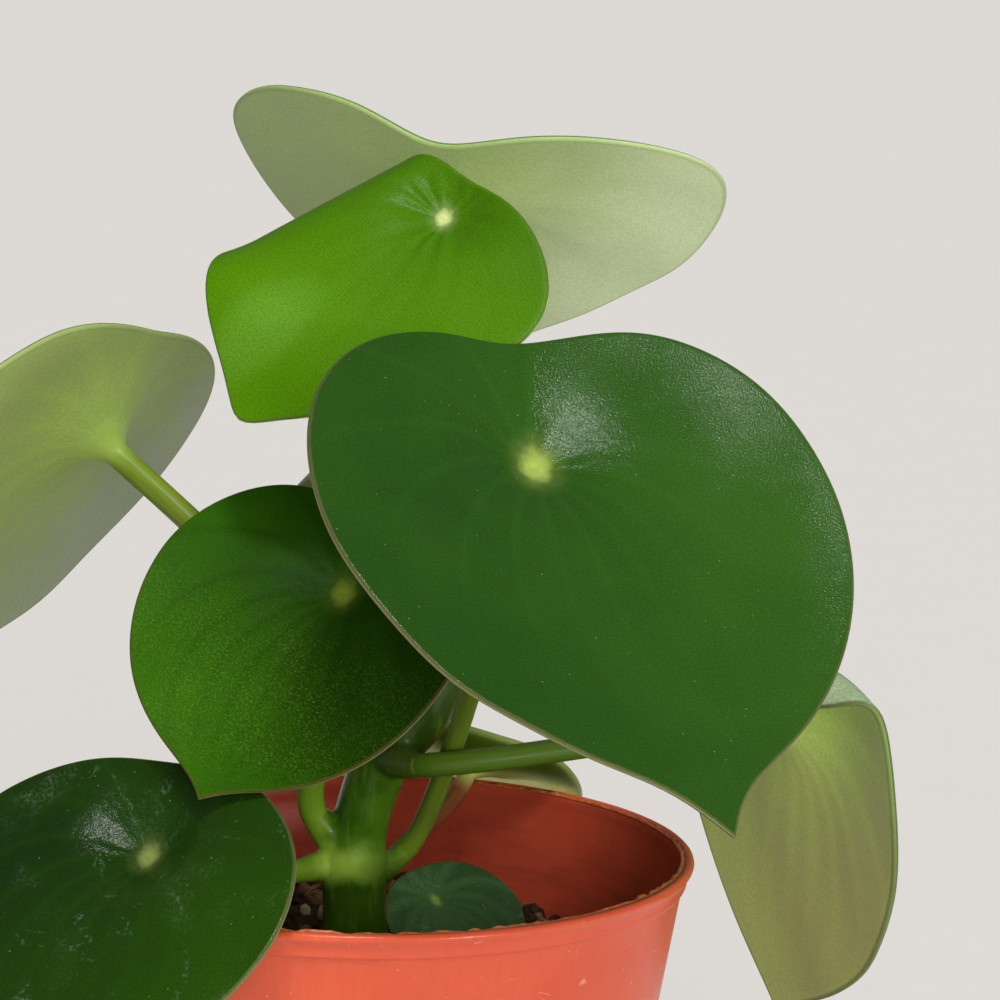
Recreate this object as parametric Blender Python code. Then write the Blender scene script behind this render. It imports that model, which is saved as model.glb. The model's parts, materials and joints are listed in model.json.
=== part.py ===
"""A raindrop peperomia in a thin plastic nursery pot, standing on its base.

Sizes are in millimetres and degrees until a mesh is made, which is in metres. The origin is the
middle of the pot's underside, +Z is up and -Y is the front. Headings are compass directions seen
from above: 0 looks to the front, 90 to +X and 180 to the back.
"""

import math
from dataclasses import dataclass

import bmesh
import bpy
import numpy as np
from mathutils import Vector, noise

MM = 0.001
GAP = 0.4  # between pieces that touch in the real plant

# The pot
RIM_RADIUS = 61.0
POT_HEIGHT = 95.0
BASE_RADIUS = 43.7
WALL = 1.0
FLOOR = 1.4
LIP_OVERHANG = 2.0
LIP_HEIGHT = 4.8
LIP_ROUNDING = 1.3
FOOT_CHAMFER = 1.5
POT_SEGMENTS = 60
DRAIN_HOLES = 8
DRAIN_RADIUS = 4.0
DRAIN_CIRCLE = 31.0
DRAIN_SIDES = 12

# The soil
SOIL_LEVEL = 74.0
SOIL_CROWN = 2.0
SOIL_SLOPE = -0.11
SOIL_LUMP = 1.2
SOIL_LUMPS_PER_MM = 0.13
SOIL_RINGS = 6
SOIL_SEGMENTS = 40

# The main stem: points up its middle, each with its radius
STEM_LINE = (
    ((-0.5, 0.0, 60.3), 6.0),
    ((-0.8, 0.0, 76.0), 6.2),
    ((-1.2, 0.0, 86.0), 5.9),
    ((-1.4, 0.0, 92.0), 6.3),
    ((-0.9, 0.0, 97.0), 5.4),
    ((1.4, 0.1, 106.0), 5.2),
    ((4.6, 0.5, 113.5), 5.6),
    ((10.6, 1.7, 120.5), 5.4),
    ((13.6, 2.9, 130.0), 4.5),
    ((14.6, 3.6, 138.0), 3.4),
)
SOIL_HOLE_TOP = 86.0
SOIL_HOLE_RADIUS = 7.0
SOIL_HOLE_DEPTH = 15.0
STEM_SIDES = 12
STEM_STEPS = 20

# Leaves
PETIOLE_SIDES = 8
PETIOLE_STEPS = 13
BLADE_MIDDLE_THICKNESS = 1.7
BLADE_EDGE_THICKNESS = 1.2
DIMPLE_WIDTH = 12.0
SINUS_WIDTH = 0.5
DRIP_WIDTH = 0.13


@dataclass(frozen=True)
class Leaf:
    """A peltate leaf: a blade held at its navel by a petiole.

    The blade is drawn flat, x to its side and y to its tip with the navel at 0, and then bent.
    """

    name: str
    navel: tuple  # where the middle of the upper face is
    heading: float  # direction that the upper face looks in
    rise: float  # how far the upper face looks up
    spin: float  # turn of the tip away from straight downhill
    reach: float  # navel to tip
    back: float  # navel to the rear margin, without the sinus
    half_width: float
    middle: float  # the widest line is this far ahead of the navel
    root: tuple  # where the petiole's line meets the middle of the stem, or the soil
    start: tuple  # heading and elevation of the petiole there
    sleeve: float  # length of that line which belongs to the stem
    handles: tuple  # how far the petiole keeps its direction at its two ends
    thickness: float = 4.2  # of the petiole
    fullness: float = 1.8  # 2 gives an elliptic front, less a narrower one
    sinus: float = 0.15
    drip: float = 8.0  # length of the drawn out tip
    sway: float = 0.0  # sideways sweep of the tip
    aside: float = 0.0  # how far the whole blade sits to the side of its navel
    sinus_at: float = 0.0  # turn of the sinus away from straight back
    ridge: float = 0.0  # turn of the line that the blade is bent over, from the midrib
    fold: float = 0.0  # how far the blade bends over that line, down if positive
    softness: float = 25.0  # width of the bend
    fold_at: float = 0.0  # its distance from the navel
    curl: float = 0.0  # droop along the ridge, in 1/m
    dimple: float = 3.0
    rings: int = 6
    sectors: int = 36


LEAVES = (
    Leaf(
        "leaf_front_large", navel=(30.2, -50, 175.3), heading=31, rise=47.5, spin=1,
        reach=81.5, back=33.5, half_width=48.5, middle=16.5, fullness=1.9, sinus=0.185, drip=12.8,
        sway=-0.015, aside=0.7, sinus_at=6.5, ridge=-17, fold=-27, softness=21, fold_at=-12.5,
        curl=-0.6, root=(-1.0, 0.2, 86), start=(103, 40), sleeve=11, handles=(10.6, 5.0),
        thickness=3.8,
    ),
    Leaf(
        "leaf_front_left", navel=(-3.9, -22, 147), heading=-25, rise=41.5, spin=13,
        reach=46.5, back=21.4, half_width=33, middle=7.2, fullness=2.0, sinus=0.2, drip=4.8,
        sway=0.02, sinus_at=-6, ridge=-16.5, fold=-31, softness=25, fold_at=-2.7, curl=2.8,
        root=(-1.3, 0, 91.5), start=(-75, 51), sleeve=11, handles=(9.5, 16), thickness=5.0,
        rings=5, sectors=32,
    ),
    Leaf(
        "leaf_low_left", navel=(-37.1, -40.6, 104.2), heading=-32, rise=46, spin=1.5,
        reach=57.4, back=18.5, half_width=37.2, middle=12, sinus=0.06, drip=8.5, aside=-0.3,
        sinus_at=-9, ridge=-10, fold=-5, softness=28, curl=2.1,
        root=(-1.4, 0, 92.5), start=(-66, -7), sleeve=9.5, handles=(12, 9), thickness=4.3,
        rings=5, sectors=32,
    ),
    Leaf(
        "leaf_folded", navel=(12.0, -6.5, 212.8), heading=-19, rise=39.5, spin=31,
        reach=53, back=9.7, half_width=34, middle=10, sinus=0.09, drip=5, sway=-0.06,
        aside=1.4, ridge=20.5, fold=90, softness=9, fold_at=15.5, curl=1.0,
        root=(14.2, 3.4, 134), start=(-25, 66), sleeve=11, handles=(32, 26),
        rings=8,
    ),
    Leaf(
        "leaf_top_back", navel=(13.3, 38, 210.3), heading=156, rise=51.5, spin=-9.4,
        reach=61, back=22.9, half_width=50.6, middle=8.2, fullness=1.89, sinus=0.2, drip=7.5,
        aside=-0.3, sinus_at=2.4, ridge=-12.8, fold=-39.5, softness=16.3, fold_at=2.1, curl=-0.4,
        root=(14.0, 3.4, 133), start=(165, 58), sleeve=10, handles=(30, 26),
        rings=5, sectors=34,
    ),
    Leaf(
        "leaf_left_back", navel=(-52.9, 30, 165.9), heading=-122.8, rise=34, spin=-14.9,
        reach=64.9, back=27, half_width=44.9, middle=10.3, fullness=1.77, sinus=0.095, drip=7.5,
        aside=-0.2, sinus_at=1.3, ridge=75.8, fold=12, softness=28.9, fold_at=-0.5, curl=-1.9,
        root=(5.2, 0.6, 113.5), start=(-112, 48), sleeve=9.5, handles=(29, 7), thickness=4.8,
        rings=5, sectors=32,
    ),
    Leaf(
        "leaf_right_hanging", navel=(79.1, 18, 118.4), heading=117.7, rise=10, spin=-17,
        reach=70.8, back=33.3, half_width=39.1, middle=7.2, fullness=1.7, sinus=0.14, drip=7.5,
        sway=-0.05, aside=0.8, ridge=98.8, fold=129, softness=3.6, fold_at=15, curl=5.7,
        root=(5.2, -3.2, 112.5), start=(27, 7.4), sleeve=8.5, handles=(15.2, 4), thickness=4.4,
        rings=9,
    ),
    Leaf(
        "leaf_low_back", navel=(20.3, 50, 101.5), heading=150.3, rise=50.4, spin=-32,
        reach=42, back=15.2, half_width=18.4, middle=11.3, sinus=0.16, aside=4.5,
        ridge=-74.3, fold=-22, curl=2.1,
        root=(-1.0, 0.4, 82.8), start=(135, 42), sleeve=11, handles=(12, 16), thickness=3.4,
        rings=5, sectors=28,
    ),
    Leaf(
        "leaf_small_front", navel=(14.4, -28, 93), heading=31, rise=49.2, spin=-11.2,
        reach=18.9, back=7.8, half_width=13.6, middle=5, sinus=0.05, drip=2, aside=-1.2,
        ridge=5, fold=12.3, softness=28, curl=3.3, dimple=1.0,
        root=(18.6, -17, 67), start=(-12, 68), sleeve=0, handles=(12, 7), thickness=2.4,
        rings=4, sectors=24,
    ),
    Leaf(
        "leaf_young", navel=(-9.5, 2, 164.5), heading=-80, rise=40, spin=5,
        reach=13, back=7.5, half_width=9, middle=2, sinus=0.1, drip=2.5,
        ridge=0, fold=35, softness=8, dimple=0.8,
        root=(13.4, 3.2, 130.5), start=(-100, 45), sleeve=8, handles=(9, 7), thickness=2.6,
        rings=4, sectors=20,
    ),
)


def clear_scene():
    """Remove whatever the startup file holds."""
    for thing in list(bpy.data.objects):
        bpy.data.objects.remove(thing, do_unlink=True)


def plain_material(name, colour, roughness):
    """A Principled material of one colour."""
    material = bpy.data.materials.new(name)
    material.use_nodes = True
    shader = material.node_tree.nodes["Principled BSDF"]
    shader.inputs["Base Color"].default_value = (*colour, 1.0)
    shader.inputs["Roughness"].default_value = roughness
    shader.inputs["Metallic"].default_value = 0.0
    return material


def object_from(name, bm, material=None, sharp_angle=40.0):
    """Turn a bmesh in millimetres into a smooth-shaded object in metres."""
    bmesh.ops.scale(bm, vec=(MM, MM, MM), verts=bm.verts)
    bmesh.ops.recalc_face_normals(bm, faces=bm.faces)
    mesh = bpy.data.meshes.new(name)
    bm.to_mesh(mesh)
    bm.free()
    if material:
        mesh.materials.append(material)
    mesh.shade_smooth()
    mesh.set_sharp_from_angle(angle=math.radians(sharp_angle))
    thing = bpy.data.objects.new(name, mesh)
    bpy.context.scene.collection.objects.link(thing)
    return thing


def combine(body, tools, operation):
    """Join the tools to the body, or cut them from it, for good."""
    group = bpy.data.collections.new(body.name + "_tools")
    for tool in tools:
        group.objects.link(tool)
        tool.hide_render = True
        tool.display_type = "WIRE"
    cut = body.modifiers.new("combine", "BOOLEAN")
    cut.operation = operation
    cut.solver = "EXACT"
    cut.operand_type = "COLLECTION"
    cut.collection = group
    graph = bpy.context.evaluated_depsgraph_get()
    result = bpy.data.meshes.new_from_object(body.evaluated_get(graph))
    body.modifiers.clear()
    body.data = result
    for tool in tools:
        bpy.data.objects.remove(tool, do_unlink=True)
    bpy.data.collections.remove(group)


def direction(heading, elevation):
    """Unit vector that points in a compass direction, raised above level."""
    turn = math.radians(heading)
    lift = math.radians(elevation)
    level = math.cos(lift)
    return Vector((math.sin(turn) * level, -math.cos(turn) * level, math.sin(lift)))


def tube(line, radii, sides, ends=(None, None)):
    """A closed tube with flat ends along a line of points, one radius for each point.

    The ends are square to the line, or to the directions given for them.
    """
    bm = bmesh.new()
    line = [Vector(point) for point in line]
    around = zip(line[:1] + line[:-1], line[1:] + line[-1:])
    alongs = [(after - before).normalized() for before, after in around]
    alongs[0] = ends[0] or alongs[0]
    alongs[-1] = ends[1] or alongs[-1]
    side = alongs[0].orthogonal().normalized()
    rings = []
    for index, point in enumerate(line):
        along = alongs[index]
        side = (side - along * side.dot(along)).normalized()
        across = along.cross(side)
        ring = []
        for step in range(sides):
            turn = 2 * math.pi * step / sides
            spoke = side * math.cos(turn) + across * math.sin(turn)
            ring.append(bm.verts.new(point + spoke * radii[index]))
        rings.append(ring)
    for low, high in zip(rings, rings[1:]):
        bmesh.ops.bridge_loops(bm, edges=ring_edges(bm, low) + ring_edges(bm, high))
    bm.faces.new(rings[0])
    bm.faces.new(rings[-1])
    return bm


def ring_edges(bm, ring):
    """The edges round a ring of vertices, made where they are missing."""
    edges = []
    for first, second in zip(ring, ring[1:] + ring[:1]):
        edge = bm.edges.get((first, second))
        edges.append(edge or bm.edges.new((first, second)))
    return edges


def turned(profile, segments):
    """Spin a profile of (radius, height) points, from axis to axis, into a closed solid."""
    bm = bmesh.new()
    verts = [bm.verts.new((radius, 0.0, height)) for radius, height in profile]
    edges = [bm.edges.new(pair) for pair in zip(verts, verts[1:])]
    bmesh.ops.spin(
        bm, geom=verts + edges, cent=(0, 0, 0), axis=(0, 0, 1), angle=2 * math.pi,
        steps=segments, use_merge=True,
    )
    bmesh.ops.remove_doubles(bm, verts=bm.verts, dist=0.001)
    return bm


def smooth_line(points, steps):
    """Points at equal parameters along the Catmull-Rom curve through rows of numbers."""
    rows = np.array(points, float)
    rows = np.vstack([2 * rows[0] - rows[1], rows, 2 * rows[-1] - rows[-2]])
    found = []
    for where in np.linspace(0, len(rows) - 3, steps + 1):
        index = min(int(where), len(rows) - 4)
        t = where - index
        a, b, c, d = rows[index:index + 4]
        curve = 2 * b + (c - a) * t + (2 * a - 5 * b + 4 * c - d) * t**2
        found.append(0.5 * (curve + (3 * b - a - 3 * c + d) * t**3))
    return np.array(found)


def wall_radius(height):
    """Outer radius of the pot's tapered wall at a height."""
    top = RIM_RADIUS - LIP_OVERHANG
    return BASE_RADIUS + (top - BASE_RADIUS) * height / (POT_HEIGHT - LIP_HEIGHT)


def make_pot(material):
    """Thin tapered wall, flat floor with drain holes, and a rolled lip that hangs outside."""
    lip_foot = POT_HEIGHT - LIP_HEIGHT
    inner_top = wall_radius(POT_HEIGHT) - WALL
    profile = [
        (0.0, 0.0),
        (BASE_RADIUS - FOOT_CHAMFER, 0.0),
        (BASE_RADIUS, FOOT_CHAMFER),
        (wall_radius(lip_foot), lip_foot),
        (RIM_RADIUS - 0.5, lip_foot + 0.2),
    ]
    for degrees in (0, 45, 90):
        turn = math.radians(degrees)
        profile.append((
            RIM_RADIUS - LIP_ROUNDING * (1 - math.cos(turn)),
            POT_HEIGHT - LIP_ROUNDING * (1 - math.sin(turn)),
        ))
    profile.append((inner_top, POT_HEIGHT - 0.6))
    profile.append((wall_radius(FLOOR) - WALL, FLOOR))
    profile.append((0.0, FLOOR))
    pot = object_from("pot", turned(profile, POT_SEGMENTS), material)
    drills = []
    for index in range(DRAIN_HOLES):
        turn = 2 * math.pi * (index + 0.5) / DRAIN_HOLES
        middle = Vector((DRAIN_CIRCLE * math.cos(turn), DRAIN_CIRCLE * math.sin(turn), 0.0))
        ends = (middle - Vector((0, 0, FLOOR)), middle + Vector((0, 0, 2 * FLOOR)))
        drill = tube(ends, (DRAIN_RADIUS, DRAIN_RADIUS), DRAIN_SIDES)
        drills.append(object_from(f"drill_{index}", drill))
    combine(pot, drills, "DIFFERENCE")
    return pot


def soil_height(x, y):
    """Height of the soil's lumpy top, slightly crowned and lower to the right."""
    crown = SOIL_CROWN * (1 - (math.hypot(x, y) / RIM_RADIUS) ** 2)
    lump = noise.noise(Vector((x, y, 0.0)) * SOIL_LUMPS_PER_MM)
    return SOIL_LEVEL + crown + SOIL_LUMP * lump + SOIL_SLOPE * x


def make_soil(material):
    """Soil that fills the pot, with a plain hole for the stem and one for the small leaf."""
    bottom = FLOOR + GAP
    edge = wall_radius(SOIL_LEVEL) - WALL - GAP
    profile = [(0.0, bottom), (wall_radius(bottom) - WALL - GAP, bottom)]
    for ring in range(SOIL_RINGS + 1):
        profile.append((edge * (1 - ring / SOIL_RINGS), SOIL_LEVEL))
    bm = turned(profile, SOIL_SEGMENTS)
    for vert in bm.verts:
        x, y, z = vert.co
        if z > SOIL_LEVEL - 1:
            height = soil_height(x, y)
            stretch = (wall_radius(height) - WALL - GAP) / edge
            vert.co = (x * stretch, y * stretch, height)
    bmesh.ops.triangulate(bm, faces=bm.faces)
    soil = object_from("soil", bm, material)
    foot, foot_radius = STEM_LINE[0]
    low = Vector(foot) - Vector((0, 0, 2 * GAP))
    high = Vector((foot[0], foot[1], SOIL_HOLE_TOP))
    stem_hole = tube((low, high), (foot_radius + 2 * GAP, SOIL_HOLE_RADIUS), STEM_SIDES)
    holes = [object_from("stem_hole", stem_hole)]
    for leaf in LEAVES:
        if leaf.sleeve == 0:
            along = direction(*leaf.start)
            ends = (Vector(leaf.root) - along * GAP, Vector(leaf.root) + along * SOIL_HOLE_DEPTH)
            radius = leaf.thickness * 0.5 + 3 * GAP
            leaf_hole = tube(ends, (radius, radius), PETIOLE_SIDES)
            holes.append(object_from("hole_" + leaf.name, leaf_hole))
    combine(soil, holes, "DIFFERENCE")
    return soil


def make_main_stem(material):
    """The thick stem, with a short stub wherever a petiole leaves it."""
    rows = smooth_line([(*point, radius) for point, radius in STEM_LINE], STEM_STEPS)
    stem = object_from("main_stem", tube(rows[:, :3], rows[:, 3], STEM_SIDES), material)
    stubs = []
    for leaf in LEAVES:
        if leaf.sleeve:
            start = Vector(leaf.root)
            end = start + direction(*leaf.start) * leaf.sleeve
            radius = leaf.thickness * 0.5
            stub = tube((start, end), (radius * 1.5, radius * 1.3), PETIOLE_SIDES + 2)
            stubs.append(object_from("stub_" + leaf.name, stub))
    combine(stem, stubs, "UNION")
    return stem


def margin(leaf, angles):
    """The flat blade's margin as x and y, for angles from the midrib round the blade's middle."""
    ahead = np.cos(angles)
    aside = np.sin(angles)
    front = leaf.reach - leaf.drip - leaf.middle
    length = np.where(ahead > 0, front, leaf.back + leaf.middle)
    power = np.where(ahead > 0, leaf.fullness, 2.0)
    reach = np.abs(aside / leaf.half_width) ** power + np.abs(ahead / length) ** power
    radius = reach ** (-1 / power)
    from_tip = np.abs(angles)
    radius = radius + leaf.drip * np.exp(-from_tip / DRIP_WIDTH)
    from_sinus = np.abs((angles - math.radians(leaf.sinus_at)) % (2 * math.pi) - math.pi)
    radius = radius * (1 - leaf.sinus * np.exp(-((from_sinus / SINUS_WIDTH) ** 2)))
    y = leaf.middle + radius * ahead
    sweep = leaf.sway * leaf.reach * np.clip(y / leaf.reach, 0, None) ** 3
    x = radius * aside + sweep + leaf.aside
    return x, y


def bend(leaf, across):
    """Carry distances across the ridge round the fold: sideways travel and height."""
    walk = np.linspace(-140, 140, 561)
    half = math.radians(leaf.fold) / 2
    settle = math.tanh(leaf.fold_at / leaf.softness)
    slope = half * (np.tanh((walk - leaf.fold_at) / leaf.softness) + settle)
    step = walk[1] - walk[0]
    middle = (slope[1:] + slope[:-1]) / 2
    travel = np.concatenate([[0], np.cumsum(np.cos(middle) * step)])
    height = np.concatenate([[0], np.cumsum(-np.sin(middle) * step)])
    travel = travel - np.interp(0, walk, travel)
    height = height - np.interp(0, walk, height)
    return np.interp(across, walk, travel), np.interp(across, walk, height)


def blade_point(leaf, x, y):
    """The upper face's points in the leaf's own axes: side, tip and up."""
    turn = math.radians(leaf.ridge)
    along = x * math.sin(turn) + y * math.cos(turn)
    across = x * math.cos(turn) - y * math.sin(turn)
    travel, height = bend(leaf, across)
    curl = (leaf.curl or 1e-6) * MM
    forward = np.sin(curl * along) / curl
    height = height - (1 - np.cos(curl * along)) / curl
    from_navel = np.hypot(x, y) / DIMPLE_WIDTH
    height = height + leaf.dimple * (1 - np.exp(-(from_navel**2)))
    side = forward * math.sin(turn) + travel * math.cos(turn)
    tip = forward * math.cos(turn) - travel * math.sin(turn)
    return np.stack([side, tip, height], -1)


def leaf_axes(leaf):
    """The directions of the blade's side, tip and upper face in the plant."""
    turn = math.radians(leaf.heading)
    lift = math.radians(leaf.rise)
    level_out = np.array([math.sin(turn), -math.cos(turn), 0.0])
    vertical = np.array([0.0, 0.0, 1.0])
    up = level_out * math.cos(lift) + vertical * math.sin(lift)
    down = level_out * math.sin(lift) - vertical * math.cos(lift)
    level = np.cross(down, up)
    spin = math.radians(leaf.spin)
    tip = math.cos(spin) * down + math.sin(spin) * level
    return np.stack([np.cross(tip, up), tip, up])


def blade_faces(leaf):
    """Points of the upper and the lower face, ring by ring, the first ring being the navel."""
    angles = np.linspace(-math.pi, math.pi, leaf.sectors + 1)[:-1]
    rim_x, rim_y = margin(leaf, angles)
    outward = np.linspace(0, 1, leaf.rings + 1)
    x = np.outer(outward, rim_x)
    y = np.outer(outward, rim_y)
    small = 0.2
    upper = blade_point(leaf, x, y)
    sideways = blade_point(leaf, x + small, y) - blade_point(leaf, x - small, y)
    forwards = blade_point(leaf, x, y + small) - blade_point(leaf, x, y - small)
    normal = np.cross(sideways, forwards)
    normal = normal / np.linalg.norm(normal, axis=-1, keepdims=True)
    thinning = BLADE_MIDDLE_THICKNESS - BLADE_EDGE_THICKNESS
    thickness = BLADE_MIDDLE_THICKNESS - thinning * outward[:, None, None]
    lower = upper - normal * thickness
    axes = leaf_axes(leaf)
    navel = np.array(leaf.navel, float)
    return upper @ axes + navel, lower @ axes + navel


def blade(leaf):
    """The blade as one closed sheet, split into triangles alike on both faces."""
    bm = bmesh.new()
    grids = []
    for points in blade_faces(leaf):
        middle = bm.verts.new(points[0, 0])
        grids.append((middle, [[bm.verts.new(point) for point in ring] for ring in points[1:]]))
    for middle, rings in grids:
        for index in range(leaf.sectors):
            following = (index + 1) % leaf.sectors
            bm.faces.new((middle, rings[0][index], rings[0][following]))
            for near, far in zip(rings, rings[1:]):
                bm.faces.new((near[index], far[index], far[following]))
                bm.faces.new((near[index], far[following], near[following]))
    for index in range(leaf.sectors):
        following = (index + 1) % leaf.sectors
        top = grids[0][1][-1]
        bottom = grids[1][1][-1]
        bm.faces.new((top[index], bottom[index], bottom[following]))
        bm.faces.new((top[index], bottom[following], top[following]))
    return bm


def petiole_line(leaf):
    """The petiole's middle line, one cubic curve from its cut into the blade, and its radii."""
    leaving = direction(*leaf.start)
    arriving = Vector(leaf_axes(leaf)[2])
    first = Vector(leaf.root) + leaving * (leaf.sleeve + (GAP if leaf.sleeve else 0.0))
    last = Vector(leaf.navel) - arriving * BLADE_MIDDLE_THICKNESS * 0.55
    near = first + leaving * leaf.handles[0]
    far = last - arriving * leaf.handles[1]
    line = []
    radii = []
    for step in range(PETIOLE_STEPS + 1):
        t = step / PETIOLE_STEPS
        s = 1 - t
        line.append(first * s**3 + near * 3 * s * s * t + far * 3 * s * t * t + last * t**3)
        flare = 0.45 * math.exp(-(s / 0.05))
        radii.append(leaf.thickness * 0.5 * (1 + flare))
    return line, radii


def make_leaf(leaf, material):
    """A blade with its petiole joined to its underside."""
    thing = object_from(leaf.name, blade(leaf), material)
    line, radii = petiole_line(leaf)
    ends = (direction(*leaf.start), Vector(leaf_axes(leaf)[2]))
    stalk = object_from("stalk_" + leaf.name, tube(line, radii, PETIOLE_SIDES, ends))
    combine(thing, [stalk], "UNION")
    return thing


def build():
    """Make every piece of the potted plant."""
    clear_scene()
    make_pot(plain_material("terracotta_plastic", (0.76, 0.12, 0.055), 0.5))
    make_soil(plain_material("potting_soil", (0.03, 0.018, 0.012), 0.95))
    make_main_stem(plain_material("stem_green", (0.06, 0.16, 0.02), 0.35))
    leaf_green = plain_material("leaf_green", (0.03, 0.12, 0.012), 0.35)
    for leaf in LEAVES:
        make_leaf(leaf, leaf_green)


build()
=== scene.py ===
# %% [markdown]
# # A raindrop peperomia in its nursery pot
#
# Everything here is drawn round a fixed frame: the plant's plain solids, already at their real
# size. This lesson gives each solid the form and finish of the real piece: fleshy leaves with a
# rounded margin, stalks that grow out of their undersides, a jointed stem, crumbly soil and a
# thin plastic pot. Lengths are in millimetres and angles in degrees; a mesh is brought to metres
# when it is made. Headings are compass directions seen from above: 0 looks to the front (-Y),
# 90 to +X and 180 to the back.

# %% Load the frame
import json
import math
from dataclasses import dataclass

import bmesh
import bpy
import numpy as np
from mathutils import Matrix, Vector, noise
from mathutils.kdtree import KDTree

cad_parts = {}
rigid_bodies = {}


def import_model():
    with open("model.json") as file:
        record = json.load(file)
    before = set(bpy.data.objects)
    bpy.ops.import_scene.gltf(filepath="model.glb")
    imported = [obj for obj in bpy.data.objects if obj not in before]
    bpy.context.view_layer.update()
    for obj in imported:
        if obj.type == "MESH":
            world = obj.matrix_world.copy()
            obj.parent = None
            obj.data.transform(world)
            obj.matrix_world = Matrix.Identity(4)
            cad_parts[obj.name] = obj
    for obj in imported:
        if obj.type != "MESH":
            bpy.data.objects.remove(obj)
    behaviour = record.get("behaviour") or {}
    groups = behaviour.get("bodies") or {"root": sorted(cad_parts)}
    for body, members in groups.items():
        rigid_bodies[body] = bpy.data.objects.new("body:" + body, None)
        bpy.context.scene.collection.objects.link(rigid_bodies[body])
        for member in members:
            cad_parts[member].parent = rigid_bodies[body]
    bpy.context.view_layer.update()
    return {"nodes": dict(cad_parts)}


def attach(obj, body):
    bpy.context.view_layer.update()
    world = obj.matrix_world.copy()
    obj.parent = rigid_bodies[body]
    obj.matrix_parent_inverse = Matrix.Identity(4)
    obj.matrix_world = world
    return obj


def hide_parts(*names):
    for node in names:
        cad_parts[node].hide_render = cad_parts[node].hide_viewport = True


MM = 0.001
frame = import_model()
print("frame:", sorted(frame["nodes"]))

# %% [markdown]
# ## The camera
#
# A photograph of a small plant is usually taken with a long lens from a step away, because that
# keeps the leaves' sizes true to each other. The rim of the pot is a circle, so the ellipse that
# it makes in the picture tells how far down the camera looks. The camera is placed from the rim:
# it stands 0.8 m from the rim's middle, looks down a little and leans very slightly.

# %% The camera
PICTURE = 1000  # pixels each way
FOCUS = 4360  # focal length in pixels
SENSOR = 36
CAMERA_DISTANCE = 800
LOOK_DOWN = 9.6
LEAN = 1.4
RIM_MIDDLE = Vector((0, 0, 95))
RIM_IN_PICTURE = (362, 846)
FARTHEST_SEEN = 50  # in metres, beyond the floor's edge


def placed(name, data):
    """An object that carries the data, put in the scene."""
    thing = bpy.data.objects.new(name, data)
    bpy.context.scene.collection.objects.link(thing)
    return thing


def aim_camera():
    """Place the camera so that the rim's middle falls where the picture has it."""
    down = math.radians(LOOK_DOWN)
    lean = math.radians(LEAN)
    ahead = Vector((0, math.cos(down), -math.sin(down)))
    level = Vector((1, 0, 0))
    upright = Vector((0, math.sin(down), math.cos(down)))
    right = level * math.cos(lean) + upright * math.sin(lean)
    up = upright * math.cos(lean) - level * math.sin(lean)
    scale = CAMERA_DISTANCE / FOCUS
    across = (RIM_IN_PICTURE[0] - PICTURE / 2) * scale
    below = (RIM_IN_PICTURE[1] - PICTURE / 2) * scale
    eye = RIM_MIDDLE - ahead * CAMERA_DISTANCE - right * across + up * below
    lens = bpy.data.cameras.new("camera")
    lens.sensor_width = SENSOR
    lens.lens = FOCUS / PICTURE * SENSOR
    lens.clip_end = FARTHEST_SEEN
    camera = placed("camera", lens)
    camera.matrix_world = Matrix((right, up, -ahead)).transposed().to_4x4()
    camera.matrix_world.translation = eye * MM
    bpy.context.scene.camera = camera
    return camera


camera = aim_camera()
print("camera stands at", [round(value, 3) for value in camera.matrix_world.translation])

# %% [markdown]
# ## Finishes as small networks
#
# A procedural finish is a network of nodes. Wiring it socket by socket makes long scripts, so two
# small helpers are made first. A `Wire` is a number that flows between nodes, and arithmetic on it
# adds a Math node. A `Finish` is a Principled material with short calls for the nodes that plant
# and pot need: noise, cells, blends and bumps. Colours are written as the eye reads them on a
# screen, 0 to 255, and turned into the linear values that the renderer works with.

# %% Colours and wires
def tint(red, green, blue):
    """A screen colour as the linear colour that a socket holds."""
    values = [value / 255 for value in (red, green, blue)]
    return (*[v / 12.92 if v < 0.04 else ((v + 0.055) / 1.055) ** 2.4 for v in values], 1.0)


class Wire:
    """A number that flows from a socket; arithmetic on it adds Math nodes."""

    def __init__(self, finish, socket):
        self.finish = finish
        self.socket = socket

    def math(self, operation, *others):
        node = self.finish.add("Math", operation=operation)
        for socket, value in zip(node.inputs, (self, *others)):
            self.finish.feed(socket, value)
        return Wire(self.finish, node.outputs[0])

    def __add__(self, other):
        return self.math("ADD", other)

    def __sub__(self, other):
        return self.math("SUBTRACT", other)

    def __rsub__(self, other):
        return (self * -1.0) + other

    def __mul__(self, other):
        return self.math("MULTIPLY", other)

    def __truediv__(self, other):
        return self.math("DIVIDE", other)

    def turn_from(self, other):
        """The angle whose sine side is this and whose cosine side is the other."""
        return self.math("ARCTAN2", other)


print("middle grey is", [round(value, 3) for value in tint(128, 128, 128)])

# %% [markdown]
# ## A finish in short calls
#
# No surface of a plant is one even colour, so its finishes need many layers of noise. The class
# below holds one Principled material and gives each kind of node that is used here a short call.
# It takes every size in millimetres, so the numbers of a finish can be read off the real thing.

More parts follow.
